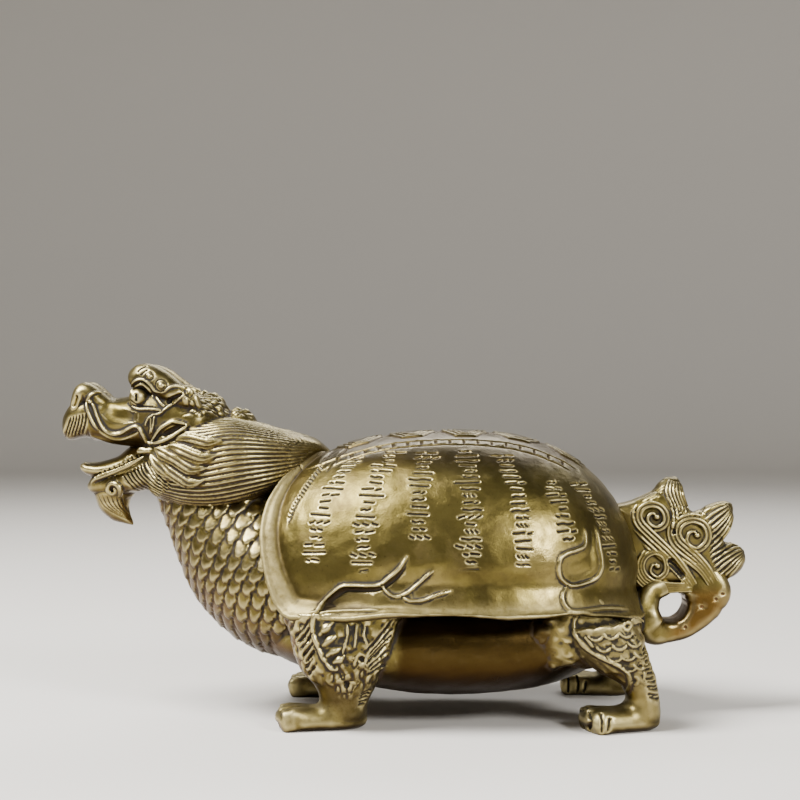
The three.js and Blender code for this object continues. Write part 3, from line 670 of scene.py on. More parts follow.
FRONT_LEG = [
    [-8.6, 16.6, 18.8, 0, 0], [-8.6, 16.6, 17.4, 5.6, 8.4], [-8.6, 17, 15.4, 5.6, 8.3],
    [-8.7, 17.3, 11.6, 5.1, 7.2], [-8.4, 16.5, 8, 4.3, 5.1], [-8.5, 15.7, 4.8, 3.6, 3.8],
    [-8.9, 15.2, 2.2, 3, 3.3], [-9, 15.2, 0.8, 0, 0],
]
HIND_LEG = [
    [31, 16, 16.6, 0, 0], [31, 16, 15.6, 4.2, 5.8], [31.4, 16.3, 14.2, 4.9, 5.5], [33.2, 17, 11.8, 4.4, 4.4],
    [35.7, 16.6, 8.4, 3.7, 2.7], [36.9, 16, 5, 3.5, 2.4], [36.6, 15.8, 2, 3.4, 3], [36.6, 15.8, -0.6, 0, 0],
]
THIGH = [
    [24, 12.6, 18, 0, 0], [24.4, 13, 16.4, 5.6, 8], [26.5, 14, 13.2, 5, 7.4], [28, 14.2, 10.6, 3.6, 4.6],
    [28, 14.2, 8.8, 0, 0],
]
PAW = [
    [0, 1.7, 0, 0], [0.05, 1.7, 1.9, 1.4], [0.25, 1.7, 3.3, 2], [0.55, 1.6, 3.8, 1.9], [0.85, 1.4, 3.9, 1.8],
    [0.97, 1.3, 3.5, 1.4], [1, 1.1, 0, 0],
]


def mirrored(rows, side):
    return [[x, side * y, *rest] for x, y, *rest in rows]


TOE_ROOTS, TOE_TIPS = 2.1, 2.6  # how far apart the three toes are


def paw(side, heel, tip):
    """A paw and its toes. Its heel and tip are X and Y."""
    heel, tip = np.array((heel[0], side * heel[1])), np.array((tip[0], side * tip[1]))
    rows = [[*(heel + (tip - heel) * t), z, half, high] for t, z, half, high in PAW]
    made = [loft(rows, around=64, along=40, square=2.5)]
    ahead = unit(tip - heel)
    across = np.array((-ahead[1], ahead[0]))
    for step in (-1, 0, 1):
        root = heel + (tip - heel) * 0.5 + across * step * TOE_ROOTS
        end = tip + across * step * TOE_TIPS - ahead * (0.2 + 0.3 * abs(step))
        middle = (root + end) / 2 + (end - root) * 0.15
        toe = [
            [*root, 1.8, 0, 0], [*(root + (end - root) * 0.1), 1.8, 1.1, 1.4], [*middle, 1.7, 1.5, 1.8],
            [*(end - ahead * 1.2), 1.6, 1.5, 1.8], [*(end - ahead * 0.3), 1.4, 1.3, 1.6], [*end, 1.4, 0, 0],
        ]
        made.append(loft(toe, around=36, along=30, square=2.8))
    return made


LEG_RISE, LEG_GRAIN = 0.32, 0.07  # heights of the legs' faint scales and of the grain over them


def leg(rows, side, columns, pitch):
    """A leg under faint scales, with columns round it and rows of a pitch down it."""
    def relief(u, v, grid):
        z = grid[..., 2]
        warp = wobble(grid.reshape(-1, 3), 4, 11).reshape(z.shape)
        bump = scales((20 - z) / pitch + 0.25 * warp, u * columns + 0.2 * warp, crown=0.4)
        rough = wobble(grid.reshape(-1, 3), 1.3, 12).reshape(z.shape)
        return (LEG_RISE * (bump - 0.5) + LEG_GRAIN * rough) * smooth(z, 4.2, 6.5)

    return loft(mirrored(rows, side), around=220, along=110, square=2.3, relief=relief)


FRONT_PAW, HIND_PAW = ((-4.9, 14.4), (-18.7, 16)), ((39.4, 15), (27.8, 18.4))  # heel and tip in X and Y

# The root of the tail goes round a hole: X, Z and radius of the hole, the root's last rows inside the tuft,
# and the angles round the hole with the root's half thickness and half width there
HOLE = (43.25, 16.95, 2.1)
RING_END = [[47.4, 0, 23.4, 3, 2.4], [46, 0, 25, 0, 0]]
RING = [
    (95, 1.3, 3.5), (140, 1.8, 5), (180, 2.2, 6.6), (215, 2.45, 6.8), (235, 2.4, 6), (256, 1.9, 5),
    (281, 1.68, 4.6), (300, 1.7, 4.6), (318, 1.85, 4.6), (341, 2.3, 4.5), (355, 2.75, 4.4), (366, 3.2, 4.3),
    (386, 4.1, 4),
]


def tail_root():
    x, z, radius = HOLE
    rows = []
    for angle, half, wide in RING:
        turn = math.radians(angle)
        out = radius + half
        rows.append([x + out * math.cos(turn), 0, z + out * math.sin(turn), wide, half])
    return loft([[*rows[0][:3], 0, 0], *rows, *RING_END], around=80, along=140, square=4.5)


# Lines of the legs as they show from the side, in X and Z. A fringe is its first line, its last line and how
# many there are, and a pit is its middle and radius.
LEG_VINES = [
    [(-12.4, 18.5), (-12.9, 17.6), (-12.9, 15.4), (-12.1, 13.2), (-11.1, 11.2), (-9.9, 9.9), (-9.2, 10.1)],
    [
        (26.8, 18), (26.2, 16.8), (26.1, 15.7), (26.5, 14.6), (27.5, 13.3), (28.6, 12.3), (30.2, 11.5),
        (31.9, 10.7), (33.3, 9.9), (34.1, 9), (34.4, 7.7), (34.3, 6.3), (34.1, 5),
    ],
]
FRINGES = [
    ([(-0.8, 17.2), (-2.6, 15), (-4.8, 12.6)], [(-2.2, 10.2), (-3.4, 9.6), (-4.8, 8.8)], 7),
    ([(-4.4, 6.4), (-6, 5.8)], [(-5.2, 4), (-6.3, 3.9)], 5),
    ([(-13.4, 17.4), (-14.4, 15.8), (-15.6, 14.6)], [(-12.6, 10.6), (-13.2, 9.6), (-13.7, 8.8)], 7),
    ([(36.2, 12.4), (37.4, 13.2)], [(37.3, 5.4), (39.2, 4.9)], 13),
]
LEAVES = [
    [(-12.1, 14.9), (-10.8, 16.3), (-9.8, 17)], [(-11.7, 13.3), (-10.4, 14.4), (-9.3, 15.1)],
    [(-11.1, 11.9), (-9.9, 12.6), (-8.5, 13.3)], [(-10.2, 10.9), (-9.1, 11.4), (-8.2, 12.2)],
]
RIBS = [
    [(-8, 17), (-7.8, 15.2), (-8.6, 12.2)], [(-6.4, 17), (-6.6, 14.8), (-6.8, 13)],
    [(-5.2, 16.6), (-5.4, 15), (-4.8, 13.6)], [(27.6, 14.6), (28.4, 13.6), (28.9, 12.9)],
    [(36.5, 9.4), (36.7, 7.9)],
]
# Middles and radius of the hind legs' scales, each a raised rim that is open above
LEG_SCALES = [
    (29.2, 15.2), (31.5, 15.5), (33.8, 15.7), (30.4, 13.6), (32.7, 13.9), (35, 14.3), (32, 12.1), (34, 12.3),
    (36, 12.7), (34.3, 10.6), (36, 10.9),
]
LEG_SCALE_RADIUS = 1.15
LEG_PITS = [
    (-5.7, 11.4, 0.7), (-8, 7.5, 0.75), (34, 16.2, 0.35), (34.6, 14.7, 0.4), (35.9, 10.1, 0.4),
    (35, 7.9, 0.4),
]
STEM_PITS = [(45.2, 14), (50.2, 18.4), (51.3, 19.2), (47.9, 17.2)]  # in the root of the tail
TOE_GROOVES = [[(28.4, 3.6), (28.4, 0.3)], [(29.9, 3.6), (30.1, 2.1), (29.9, 0.3)], [(31.4, 2.7), (31, 0.4)]]
RIB_RISE, RIB_HALF = 0.28, 0.26  # height and half width of the ribs and of the scales' rims


def leg_drawing():
    """The hair, leaves, scales, vines, toes and pits of all four legs, and the pits of the tail's root."""
    d = Drawing()
    draw = np.random.default_rng(41)
    for first, last, count in FRINGES:
        for line in family(first, last, count):
            d.add([line + draw.normal(0, 0.14, 2) * (1, 0.6)], -0.4 * draw.uniform(0.7, 1.1), 0.32)
    d.add(LEAVES, 0.55, 0.8, pointed=True)
    d.add(RIBS, RIB_RISE, RIB_HALF)
    turn = np.radians(np.linspace(195, 345, 9))
    rim = np.stack([np.cos(turn), np.sin(turn)], -1) * LEG_SCALE_RADIUS
    d.add([rim + middle for middle in LEG_SCALES], RIB_RISE, RIB_HALF)
    d.add(LEG_VINES, 0.5, 0.5)
    d.add(TOE_GROOVES, -0.45, 0.35)
    for x, z, radius in LEG_PITS:
        d.dot(x, z, -0.8 * radius, radius, 0.1)
    for x, z in STEM_PITS:
        d.dot(x, z, -0.25, 0.35)
    return d


LUMP_RISE = 0.34  # how high the rough patches are


def body_height(points, normals):
    x, y, z = points.T
    hair = (1 - smooth(np.abs(x + 15.6 + (z - 17) * 0.29), 1, 2)) * smooth(z, 9, 10) * (1 - smooth(z, 17, 18))
    knee = smooth(-np.hypot(x + 7.4, (z - 8.6) * 0.9), -3.6, -2.2)
    rough = np.maximum(knee, hair) * smooth(np.abs(y), 10, 13)
    lumps = np.abs(wobble(points, 1.7, 31)) ** 0.7 - 0.5
    return leg_drawing().height(points, normals) + unevenness(points, 0.06) + LUMP_RISE * lumps * rough


def ankles(points):
    """Where the legs run smoothly into the paws."""
    x, z = points[:, 0], points[:, 2]
    front = 1 - smooth(np.abs(x + 9.5), 4.5, 6.5)
    hind = 1 - smooth(np.abs(x - 35), 4.5, 6.5)
    return 0.5 * np.maximum(front, hind) * smooth(z, 1.2, 2.4) * (1 - smooth(z, 5.5, 7.5))


def body():
    shells = [loft(BELLY, around=160, along=120, square=2.4), neck(), tail_root()]
    for side in SIDES:
        shells += [leg(FRONT_LEG, side, columns=21, pitch=1.9), *paw(side, *FRONT_PAW)]
        shells += [leg(HIND_LEG, side, columns=17, pitch=1.9), *paw(side, *HIND_PAW)]
        shells.append(leg(THIGH, side, columns=15, pitch=2.3))
    return shells


# Head and mane

MANE = [
    [-42.6, 0, 40.2, 0, 0], [-39.4, 0, 40, 7.4, 5], [-35.2, 0, 39.9, 10, 7], [-30.5, 0, 39.6, 11.8, 7.5],
    [-26, 0, 39.9, 12.3, 7.4], [-21.5, 0, 40.3, 11.2, 6], [-17.5, 0, 40.9, 8.4, 4.4],
    [-13.8, 0, 41.4, 4.6, 2.6], [-10.4, 0, 41, 0, 0],
]
MANE_SQUARE = 2.9
STRANDS = 76
STRAND_DEPTH, STRAND_WAVE = 0.42, 0.012


def mane():
    """The mane with strands from front to back, evenly apart round it."""
    def relief(u, v, grid):
        step = np.linalg.norm(np.roll(grid, -1, axis=1) - grid, axis=2)
        gone = np.cumsum(step, axis=1) - step
        phase = gone / np.maximum(1e-9, gone[:, -1:] + step[:, -1:])
        phase = phase + STRAND_WAVE * np.sin(2 * math.pi * (1.15 * v + 0.1)) * np.cos(2 * math.pi * u)
        ridge = np.abs(np.sin(math.pi * STRANDS * phase)) ** 0.8
        ridge = 1 - (1 - ridge) * smooth(np.abs(np.cos(2 * math.pi * u)), 0.02, 0.09)
        return STRAND_DEPTH * (ridge - 1) * smooth(v, 0.1, 0.25) * (1 - 0.6 * smooth(v, 0.8, 1))

    return loft(MANE, around=STRANDS * 10, along=160, square=MANE_SQUARE, relief=relief)


SKULL = [
    [-53.7, 0, 43.8, 0, 0], [-53.1, 0, 44.4, 3.6, 1.2], [-51.7, 0, 46.1, 4.6, 2.9],
    [-49.8, 0, 47.2, 5.1, 3.7], [-47.6, 0, 47.1, 5.4, 3.6], [-45.4, 0, 46.7, 5.8, 3.7],
    [-42.4, 0, 46.7, 6.6, 4.2], [-39, 0, 47, 7.6, 5.3], [-35, 0, 46.3, 8, 5], [-31, 0, 45.3, 7.6, 4.4],
    [-27, 0, 44, 0, 0],
]
CREST = [
    [-34, 0, 47.8, 0, 0], [-32.6, 0, 48.4, 3.4, 2.4], [-30.7, 0, 48.4, 4.1, 2.8], [-28.8, 0, 47, 3.6, 2],
    [-27.3, 0, 46, 3.4, 1.9], [-25.8, 0, 46.3, 3.4, 2.4], [-24.2, 0, 45.4, 2.8, 1.8], [-22.8, 0, 44.4, 0, 0],
]
BROW = [
    [-42, 4.6, 51.6, 0, 0], [-41.6, 4.6, 52.6, 1.8, 1.8], [-40.9, 4.5, 53.3, 2.3, 2.4],
    [-39.8, 4.5, 53.6, 2.5, 2.2], [-38.3, 4.8, 52.9, 2.6, 2.2], [-36.4, 5.3, 51.6, 2.5, 2.1],
    [-34.4, 5.9, 50.4, 2.1, 1.8], [-32.6, 6.5, 49.6, 1.5, 1.3], [-31.2, 7, 48.8, 0, 0],
]
NOSE = [
    [-52, 2.8, 47.2, 0, 0], [-51.8, 2.8, 48.2, 1.7, 0.8], [-51.3, 2.8, 49.9, 2.1, 1.2],
    [-50.5, 2.7, 51.2, 2.2, 1.6], [-49.3, 2.6, 50.8, 2.3, 1.7], [-47.6, 2.4, 49.4, 2.3, 1.6],
    [-45.8, 2, 48.6, 1.7, 1.1], [-44, 1.8, 48, 0, 0],
]
JAW = [
    [-50.4, 0, 36.4, 0, 0], [-49.4, 0, 36.3, 2.4, 1.3], [-46.4, 0, 36.6, 3.8, 1.9], [-43, 0, 37.4, 5.4, 2.3],
    [-39.8, 0, 38.6, 7, 2.8], [-36, 0, 40, 7.4, 3.6], [-33, 0, 41, 0, 0],
]
TONGUE = [
    [-51.4, 0, 39.7, 0, 0], [-51, 0, 39.4, 1.5, 0.7], [-49.8, 0, 38.9, 2.4, 1.1], [-47.6, 0, 38.8, 3.2, 1.4],
    [-44.6, 0, 39.5, 3.9, 1.7], [-41.4, 0, 41, 4, 2.2], [-38, 0, 42, 0, 0],
]
BEARD = [
    [-45.7, 0, 37, 0, 0], [-46, 0, 35.6, 3.1, 3], [-46, 0, 33.8, 2.8, 2.8], [-45.3, 0, 32.2, 2.2, 2],
    [-44.2, 0, 31, 1.4, 1.05], [-43.4, 0, 30.3, 0.7, 0.5], [-42.9, 0, 29.8, 0, 0],
]
EYE, EYE_RADIUS = (-41.3, 5.9, 50.4), 1.5
CORNER_BAR = [[-41.5, 6.2, 41.9], [-40.2, 6.8, 42], [-38.4, 7.4, 42.1]]
JAW_LINE = [[-49.8, 1.4, 36], [-48.4, 3.1, 37.5], [-45.4, 4.6, 38.6], [-42.6, 6.1, 39.8], [-40, 7.4, 41.3]]
JAW_LINE_RADIUS, CORNER_BAR_RADIUS, EAR_RADIUS = 0.45, 0.55, 0.33
# The curl on the chin: X and Z of its middle, where it starts in degrees, its turns and its reach
CHIN_CURL, CHIN_RADIUS = (-45.6, 35.7, -60, -1.4, 1.4), 0.42
# Locks over the cheek and the front of the mane, in X and Z from root to tip
LOCKS = [
    [(-35.2, 43.7), (-33.6, 44.1), (-31.6, 43.8), (-29.6, 43.4), (-27.4, 44)],
    [(-36.6, 43), (-35, 42.6), (-32.9, 41.8), (-30.6, 41.1), (-28.1, 41.6)],
    [(-37.6, 42.4), (-36.2, 41.5), (-34.1, 40.3), (-32.2, 39.3), (-29.7, 39.6)],
    [(-38, 41.2), (-36.3, 39.4), (-34.1, 37.9), (-32.4, 37.1), (-30.2, 37.6)],
    [(-38.6, 42.6), (-37.6, 42.1), (-36.3, 41.5), (-35.2, 41), (-33.6, 41.4)],
    [(-39.2, 41.8), (-38.5, 40.6), (-37.4, 39.5), (-36.2, 38.8), (-34.5, 38.6)],
]


def spiral(x, z, start, turns, reach, inner=0.15, count=24):
    """Points of a coil in X and Z, from its outer end inward."""
    share = np.linspace(0, 1, count)
    turn = np.radians(start) - share * turns * 2 * math.pi
    out = reach * (1 - (1 - inner) * share)
    return np.stack([x + out * np.cos(turn), z + out * np.sin(turn)], -1)


LOCK_RADIUS, LOCK_FLAT, LOCK_GROOVES, LOCK_DEPTH = 1.15, 0.45, 4, 0.42


def lock(path, side):
    """One lock of hair with grooves along it."""
    form = {"flat": LOCK_FLAT, "grooves": LOCK_GROOVES, "depth": LOCK_DEPTH}
    return tube(path, LOCK_RADIUS, sides=96, steps=90, blunt=0.9, across=(0, side, 0), **form)


def head():
    hair = mane()
    skull = loft(SKULL, around=120, along=120, square=2.5)
    jaw = loft(JAW, around=80, along=80, square=2.4)
    beard = loft(BEARD, around=60, along=60)
    shells = [hair, skull, loft(CREST, around=40, along=50), jaw, loft(TONGUE, around=50, along=50), beard]
    for side in SIDES:
        shells.append(loft(mirrored(NOSE, side), around=50, along=60))
        shells.append(loft(mirrored(BROW, side), around=50, along=60))
        shells.append(ball(EYE[0], side * EYE[1], EYE[2], EYE_RADIUS))
        shells.append(tube(mirrored(JAW_LINE, side), JAW_LINE_RADIUS, steps=60))
        shells.append(tube(mirrored(CORNER_BAR, side), CORNER_BAR_RADIUS, steps=40, blunt=0.3))
    cheek = np.concatenate([form[0] for form in (hair, skull, jaw, beard)])
    for side in SIDES:
        chin = laid(spiral(*CHIN_CURL), side, cheek)
        shells.append(tube(chin, CHIN_RADIUS, steps=80, blunt=0.3, across=(0, side, 0)))
        for line in LOCKS:
            shells.append(lock(laid(even(line, 8), side, cheek), side))
        for line in (EAR_LOW, EAR_TOP):
            ear = laid(even(line, 10), side, cheek)
            shells.append(tube(ear, EAR_RADIUS, steps=80, blunt=0.4, across=(0, side, 0)))
    return shells


def laid(line, side, points):
    """A line of X and Z laid on the outermost of a form's points on one side."""
    near = points[points[:, 1] * side > 0]
    path = []
    for x, z in line:
        close = near[(near[:, 0] - x) ** 2 + (near[:, 2] - z) ** 2 < 0.5]
        path.append((x, side * np.abs(close[:, 1]).max(initial=0), z))
    path = np.array(path)
    path[1:-1, 1] = (path[:-2, 1] + 2 * path[1:-1, 1] + path[2:, 1]) / 4
    return path


# Lines of the face as they show from the side, in X and Z
FOLD = [(-47.5, 51.2), (-48.5, 51.1), (-49.4, 50.3), (-49.6, 49), (-49.1, 47.6), (-48.3, 46), (-47.6, 45.2)]
LIP = [
    (-49.1, 49.9), (-48.3, 48.6), (-47.7, 47.2), (-46.7, 45.5), (-45.4, 44.8), (-44, 44.9), (-42.7, 45.5),
    (-41.7, 45.9), (-41, 45.7), (-40.4, 44.7), (-39.8, 43.6), (-39.2, 43.2),
]
EAR_LOW = [(-39.2, 43.2), (-37.6, 43.4), (-35.9, 44.1), (-34.7, 44.9), (-33.6, 45.7), (-33.1, 46.1)]
EAR_TOP = [
    (-39.2, 43.2), (-38.5, 44.3), (-37.7, 45.4), (-36.7, 46.1), (-35.7, 46.6), (-34.7, 46.5), (-33.1, 46.1),
]
EAR_HOLLOW = [(-37.2, 44.4), (-35.9, 45.2), (-34.3, 45.9)]
UNDER_LIP = [(-47.7, 45.5), (-46.7, 44.6), (-45.4, 44), (-43.8, 44.1), (-42.3, 44.8), (-41.3, 45.1)]
GUM = [(-49.3, 44.3), (-47.7, 44), (-46.2, 43.4), (-44.2, 43), (-42.1, 42.7), (-40.1, 42.5)]
LIDS = [
    [(-43, 49.9), (-42.1, 49), (-41.1, 48.6), (-39.6, 48.6), (-38, 48.5), (-37.4, 48.3)],
    [(-42.4, 50.9), (-42.1, 51.9), (-41.3, 52.4), (-40.5, 52.5), (-39.7, 51.9), (-39.2, 51.1), (-38.9, 50.5)],
    [(-42.6, 51.7), (-42.1, 52.7), (-41.3, 53.2), (-40.3, 53.2), (-39.3, 52.5), (-38.5, 51.5), (-37.7, 51.2)],
]
LID_GROOVES = [
    [(-42.7, 50.2), (-41.7, 49.4), (-40.5, 49.1), (-39.2, 49), (-38.2, 48.8)],
    [(-42.5, 51.4), (-42.1, 52.3), (-41.3, 52.8), (-40.4, 52.9), (-39.5, 52.2), (-38.8, 51.3)],
]
BROW_SLITS = [[(-41.4, 54.3), (-40.9, 54.9), (-39.9, 55.4)], [(-40.9, 53.8), (-40.3, 54.4), (-39.6, 54.8)]]
BROW_EDGE = [
    (-37.7, 51.2), (-37, 51.3), (-36.3, 51.9), (-35.3, 52.2), (-33.9, 51.9), (-32.7, 51.1), (-32, 50.4),
]
WING_LEFT = [(-38.5, 50.7), (-37.7, 49.6), (-36.9, 49)]
WING_DEEP = [(-36.7, 49.6), (-35.3, 50.4), (-34, 51.1)]
WING_LINE = [(-38.7, 47.7), (-37.7, 47.9), (-36.5, 48.8), (-34.9, 49.9), (-33.4, 51.2)]
CHEEK_FOLDS = [
    [(-40.1, 45.8), (-39.6, 47), (-38.6, 47.8)], [(-39.1, 47.4), (-39.1, 45.9), (-39.3, 44.6)],
    [(-38.5, 47.6), (-38.7, 46.3), (-39.1, 44.6)],
]
NOSTRIL = [(-51.3, 50.5), (-51.7, 49.2)]
PUPIL = [(-41.5, 50.9), (-41.5, 49.9)]
MUZZLE_HOLLOW = [(-47.3, 48.8), (-44.6, 47.6), (-41.3, 47.4)]
BRISTLES = [[(-52.2, 47.4), (-52.8, 45.7), (-53.4, 44)], [(-49.7, 48), (-49.9, 46.3), (-50.5, 44.5)]]
TEETH = [
    [(-48.6, 38.5), (-46.2, 39.6), (-44.2, 40.6), (-41.9, 41.8)],
    [(-48.5, 37.5), (-46, 38.7), (-44, 39.6), (-41.6, 40.8)],
]
BEARD_LINES = [
    [(-48.3, 35), (-47.6, 33.4), (-46.2, 32.2), (-44.4, 31.2), (-42.5, 30.5)],
    [(-44.5, 34.6), (-44.2, 33.1), (-43.4, 31.7), (-42.4, 30.5)],
]
THROAT_LINES = [
    [(-39.5, 41), (-38.7, 39.3), (-37.3, 37.7), (-35.4, 36.3)],
    [(-43.9, 38.3), (-42.7, 36.5), (-41, 35.2), (-38.6, 34.4)],
]
# Beads of the brow: middle, radius and height
BEADS = [((-39.4, 53.8), 0.5, 0.2), ((-37.5, 52.3), 0.7, 0.35)]


def face_drawing():
    d = Drawing()
    d.add([MUZZLE_HOLLOW], -0.3, 1.5)
    d.add(family(*BRISTLES, 6), -0.32, 0.26, 0.05)
    d.add([UNDER_LIP], -0.45, 0.4)
    d.add([GUM], 0.3, 0.4)
    d.add([FOLD], 0.4, 0.38)
    d.add([LIP], 0.6, 0.42, taper=False)
    d.add([EAR_HOLLOW], -0.4, 0.55)
    d.add(LIDS, 0.32, 0.3)
    d.add(LID_GROOVES, -0.2, 0.2)
    d.add(BROW_SLITS, -0.2, 0.22)
    d.add([BROW_EDGE, WING_LEFT], 0.3, 0.35)
    d.add([WING_DEEP], -0.7, 0.5)
    d.add([WING_LINE], 0.45, 0.25)
    d.add(CHEEK_FOLDS, 0.3, 0.2)
    d.add([NOSTRIL], -0.7, 0.5, taper=False)
    d.add([PUPIL], -0.5, 0.36, taper=False)
    tips, roots = even(TEETH[0], 10), even(TEETH[1], 10)
    d.add([np.array(((a + b) / 2, b)) for a, b in zip(tips, roots)], -0.3, 0.2, taper=False)
    d.add([even(TEETH[1], 12)], -0.3, 0.25)
    d.add(family(*BEARD_LINES, 6), -0.09, 0.2)
    d.add(family(*THROAT_LINES, 9), -0.3, 0.26)
    for (x, z), radius, rise in BEADS:
        out = 1.35 * radius
        ring = [(x + out * math.cos(a), z + out * math.sin(a)) for a in np.linspace(0, 2 * math.pi, 13)]
        d.add([ring], -0.1, 0.18, taper=False)
        d.dot(x, z, rise, radius)
    return d


def head_height(points, normals):
    x, z = points[:, 0], points[:, 2]
    rough = smooth(x, -35, -33) * (1 - smooth(x, -24, -22)) * smooth(z, 47, 48)
    lumps = np.abs(wobble(points, 1.5, 32)) ** 0.7 - 0.5
    return face_drawing().height(points, normals) + unevenness(points, 0.05) + LUMP_RISE * lumps * rough


# Tail tuft

TUFT_HALF = 3.7
OUTLINE = [
    [34, 33.2], [36.1, 33.5], [38.7, 34.3], [40.8, 35.3], [42.4, 35.4], [45.6, 33], [47.2, 32], [50.4, 30],
    [52, 27.4], [52.3, 24], [52, 21.2], [49.6, 19.8], [44.6, 19.9], [40.8, 19.9], [38.6, 19.1], [34, 18.4],
]
# Each spike's middle line in X and Z, with its half width and half thickness, from root to tip
SPIKES = [
    [
        (42.6, 30.6, 3.3, 3.4), (42.9, 32.5, 3.3, 3.4), (43.1, 34, 2.9, 3.1), (43.4, 35.5, 2.35, 2.7),
        (43.75, 36.5, 1.7, 2), (44.1, 37.3, 1, 1.2), (44.2, 37.75, 0, 0),
    ],
    [
        (46.8, 28.2, 3.3, 3.4), (48.6, 29, 3.3, 3.4), (50.2, 30, 3.1, 3.1), (51.1, 31.1, 2.7, 2.7),
        (51.9, 31.95, 2.1, 2.2), (52.5, 32.55, 1.55, 1.7), (53.1, 33.05, 0.85, 1), (53.45, 33.35, 0, 0),
    ],
    [
        (48.8, 24, 3, 3.4), (50.8, 24.1, 3.1, 3.3), (52.4, 24.35, 3.1, 3), (53.5, 24.7, 2.65, 2.5),
        (54.3, 25.1, 2, 1.9), (54.9, 25.5, 1.25, 1.3), (55.4, 25.85, 0, 0),
    ],
]
# Families of strands on the spikes: the first line, the last line, how many and their height
SPIKE_LINES = [
    (
        [(43.2, 37.2), (42.5, 35.4), (43, 33.6), (43.5, 32.6)],
        [(44.9, 36.8), (45.2, 34.8), (45.8, 33.2), (46.2, 32)], 6, 0.34,
    ),
    ([(43.2, 33), (43.5, 31.4), (43.2, 29.4)], [(43.9, 33), (44.1, 31.9), (44, 30.9)], 2, 0.3),
    ([(42.6, 36.6), (40.4, 35), (37.6, 33.8)], [(42, 35.4), (41, 34.6), (39.8, 33.9)], 3, 0.16),
    ([(52.6, 33.3), (50.4, 32.9), (48.2, 31.6)], [(53, 32.8), (51.8, 31.4), (49.5, 29.4)], 4, 0.34),
    ([(53, 32.6), (52, 31.1), (49.6, 28.8)], [(53.3, 32.2), (52.9, 30), (51.3, 27.6), (49.2, 25.6)], 4, 0.34),
    (
        [(55.1, 26.3), (53.2, 26.7), (50.9, 26), (49.3, 24.9)],
        [(55, 25), (53.6, 23.1), (51.8, 20.9), (51, 20.3)], 7, 0.34,
    ),
]
SPIKE_LINE_HALF = 0.34  # their half width
# Hollows between the curls: line, depth and half width
HOLLOWS = [([(42.7, 24.8), (43.9, 23.2), (45.1, 21.6)], 0.8, 0.75), ([(43.4, 29.5), (43.6, 28.6)], 0.3, 0.45)]
# The inner strand of each curl, in X and Z from its root to its coil's middle, and how wide its strands lie
CURLS = [
    (
        [
            (47.6, 20), (45.3, 23.6), (43.4, 25.9), (41.4, 27.9), (39.6, 29.6), (38.6, 30.7), (38.3, 31.8),
            (38.8, 32.7), (39.9, 33.1), (41.1, 32.8), (41.9, 31.8), (41.9, 30.6), (41.1, 29.9), (40.1, 30),
            (39.4, 30.8), (39.5, 31.6), (40.2, 32), (40.8, 31.4),
        ],
        0.95,
    ),
    (
        [
            (50.9, 20.4), (49.2, 23.4), (47.5, 25.4), (45.9, 26.9), (44.8, 28), (44.5, 29.2), (45.2, 30.2),
            (46.6, 30.6), (48.1, 30), (48.7, 28.7), (48.3, 27.3), (47.2, 26.5), (46.1, 26.9), (45.6, 27.8),
            (45.9, 28.8), (46.7, 29.1), (47.2, 28.5),
        ],
        0.95,
    ),
    (
        [
            (47.4, 20.6), (44.6, 20.8), (42.4, 20.95), (40.3, 21.4), (39.1, 22.4), (38.7, 23.7), (39.2, 24.9),
            (40.4, 25.5), (41.6, 25), (42.1, 23.9), (42, 22.7), (41.1, 21.9), (40.2, 22.2), (39.8, 23),
            (40.2, 23.8), (40.9, 23.6),
        ],
        0.7,
    ),
]
# How far along the inner one each strand of a curl runs, and how far apart and how thick they are at the root
# and at the shoulder of the curl
STRAND_ENDS = (1, 0.86, 0.6, 0.52, 0.45)
STRAND_GAPS, STRAND_RADII = (0.42, 0.66), (0.2, 0.3)
STRAND_PROUD = 0.22  # how far the middle of a curl's strand stands above the tuft's side
COIL_PROUD, COIL_RADIUS = 0.12, 0.5  # the same for the knob in a coil's middle, and its radius


def curl(line, spread, side):
    """Strands side by side that wind into a coil. The inner two wind to its middle, and the others end on its
    shoulder."""
    made = []
    inner = even(line, 160)
    ahead = unit(np.gradient(inner, axis=0))
    outward = np.stack([-ahead[:, 1], ahead[:, 0]], -1)
    v = np.linspace(0, 1, len(inner))
    open_out = smooth(v, 0.05, 0.4)
    (near, far), (thin, thick) = STRAND_GAPS, STRAND_RADII
    gap = spread * (near + (far - near) * open_out)
    radius = (0.2 + 0.8 * spread) * (thin + (thick - thin) * open_out)
    for k, share in enumerate(STRAND_ENDS):
        count = int(share * len(inner))
        path = inner[:count] + outward[:count] * (k * gap[:count])[:, None]
        along = np.arange(count) / count
        sunk = 0.04 * k + 0.35 * smooth(along, 0.85, 1) * (k > 1) + 0.5 * (1 - smooth(along, 0, 0.14))
        height = side * (TUFT_HALF + STRAND_PROUD - sunk)
        path = np.stack([path[:, 0], height, path[:, 1]], -1)
        made.append(tube(path, radius[:count].mean(), steps=150, blunt=0.12, across=(0, side, 0)))
    x, z = inner[-1]
    made.append(ball(x, side * (TUFT_HALF + COIL_PROUD), z, COIL_RADIUS))
    return made


def tuft_drawing():
    d = Drawing()
    for first, last, count, rise in SPIKE_LINES:
        d.add(family(first, last, count), rise, SPIKE_LINE_HALF)
    for line, deep, wide in HOLLOWS:
        d.add([line], -deep, wide)
    return d


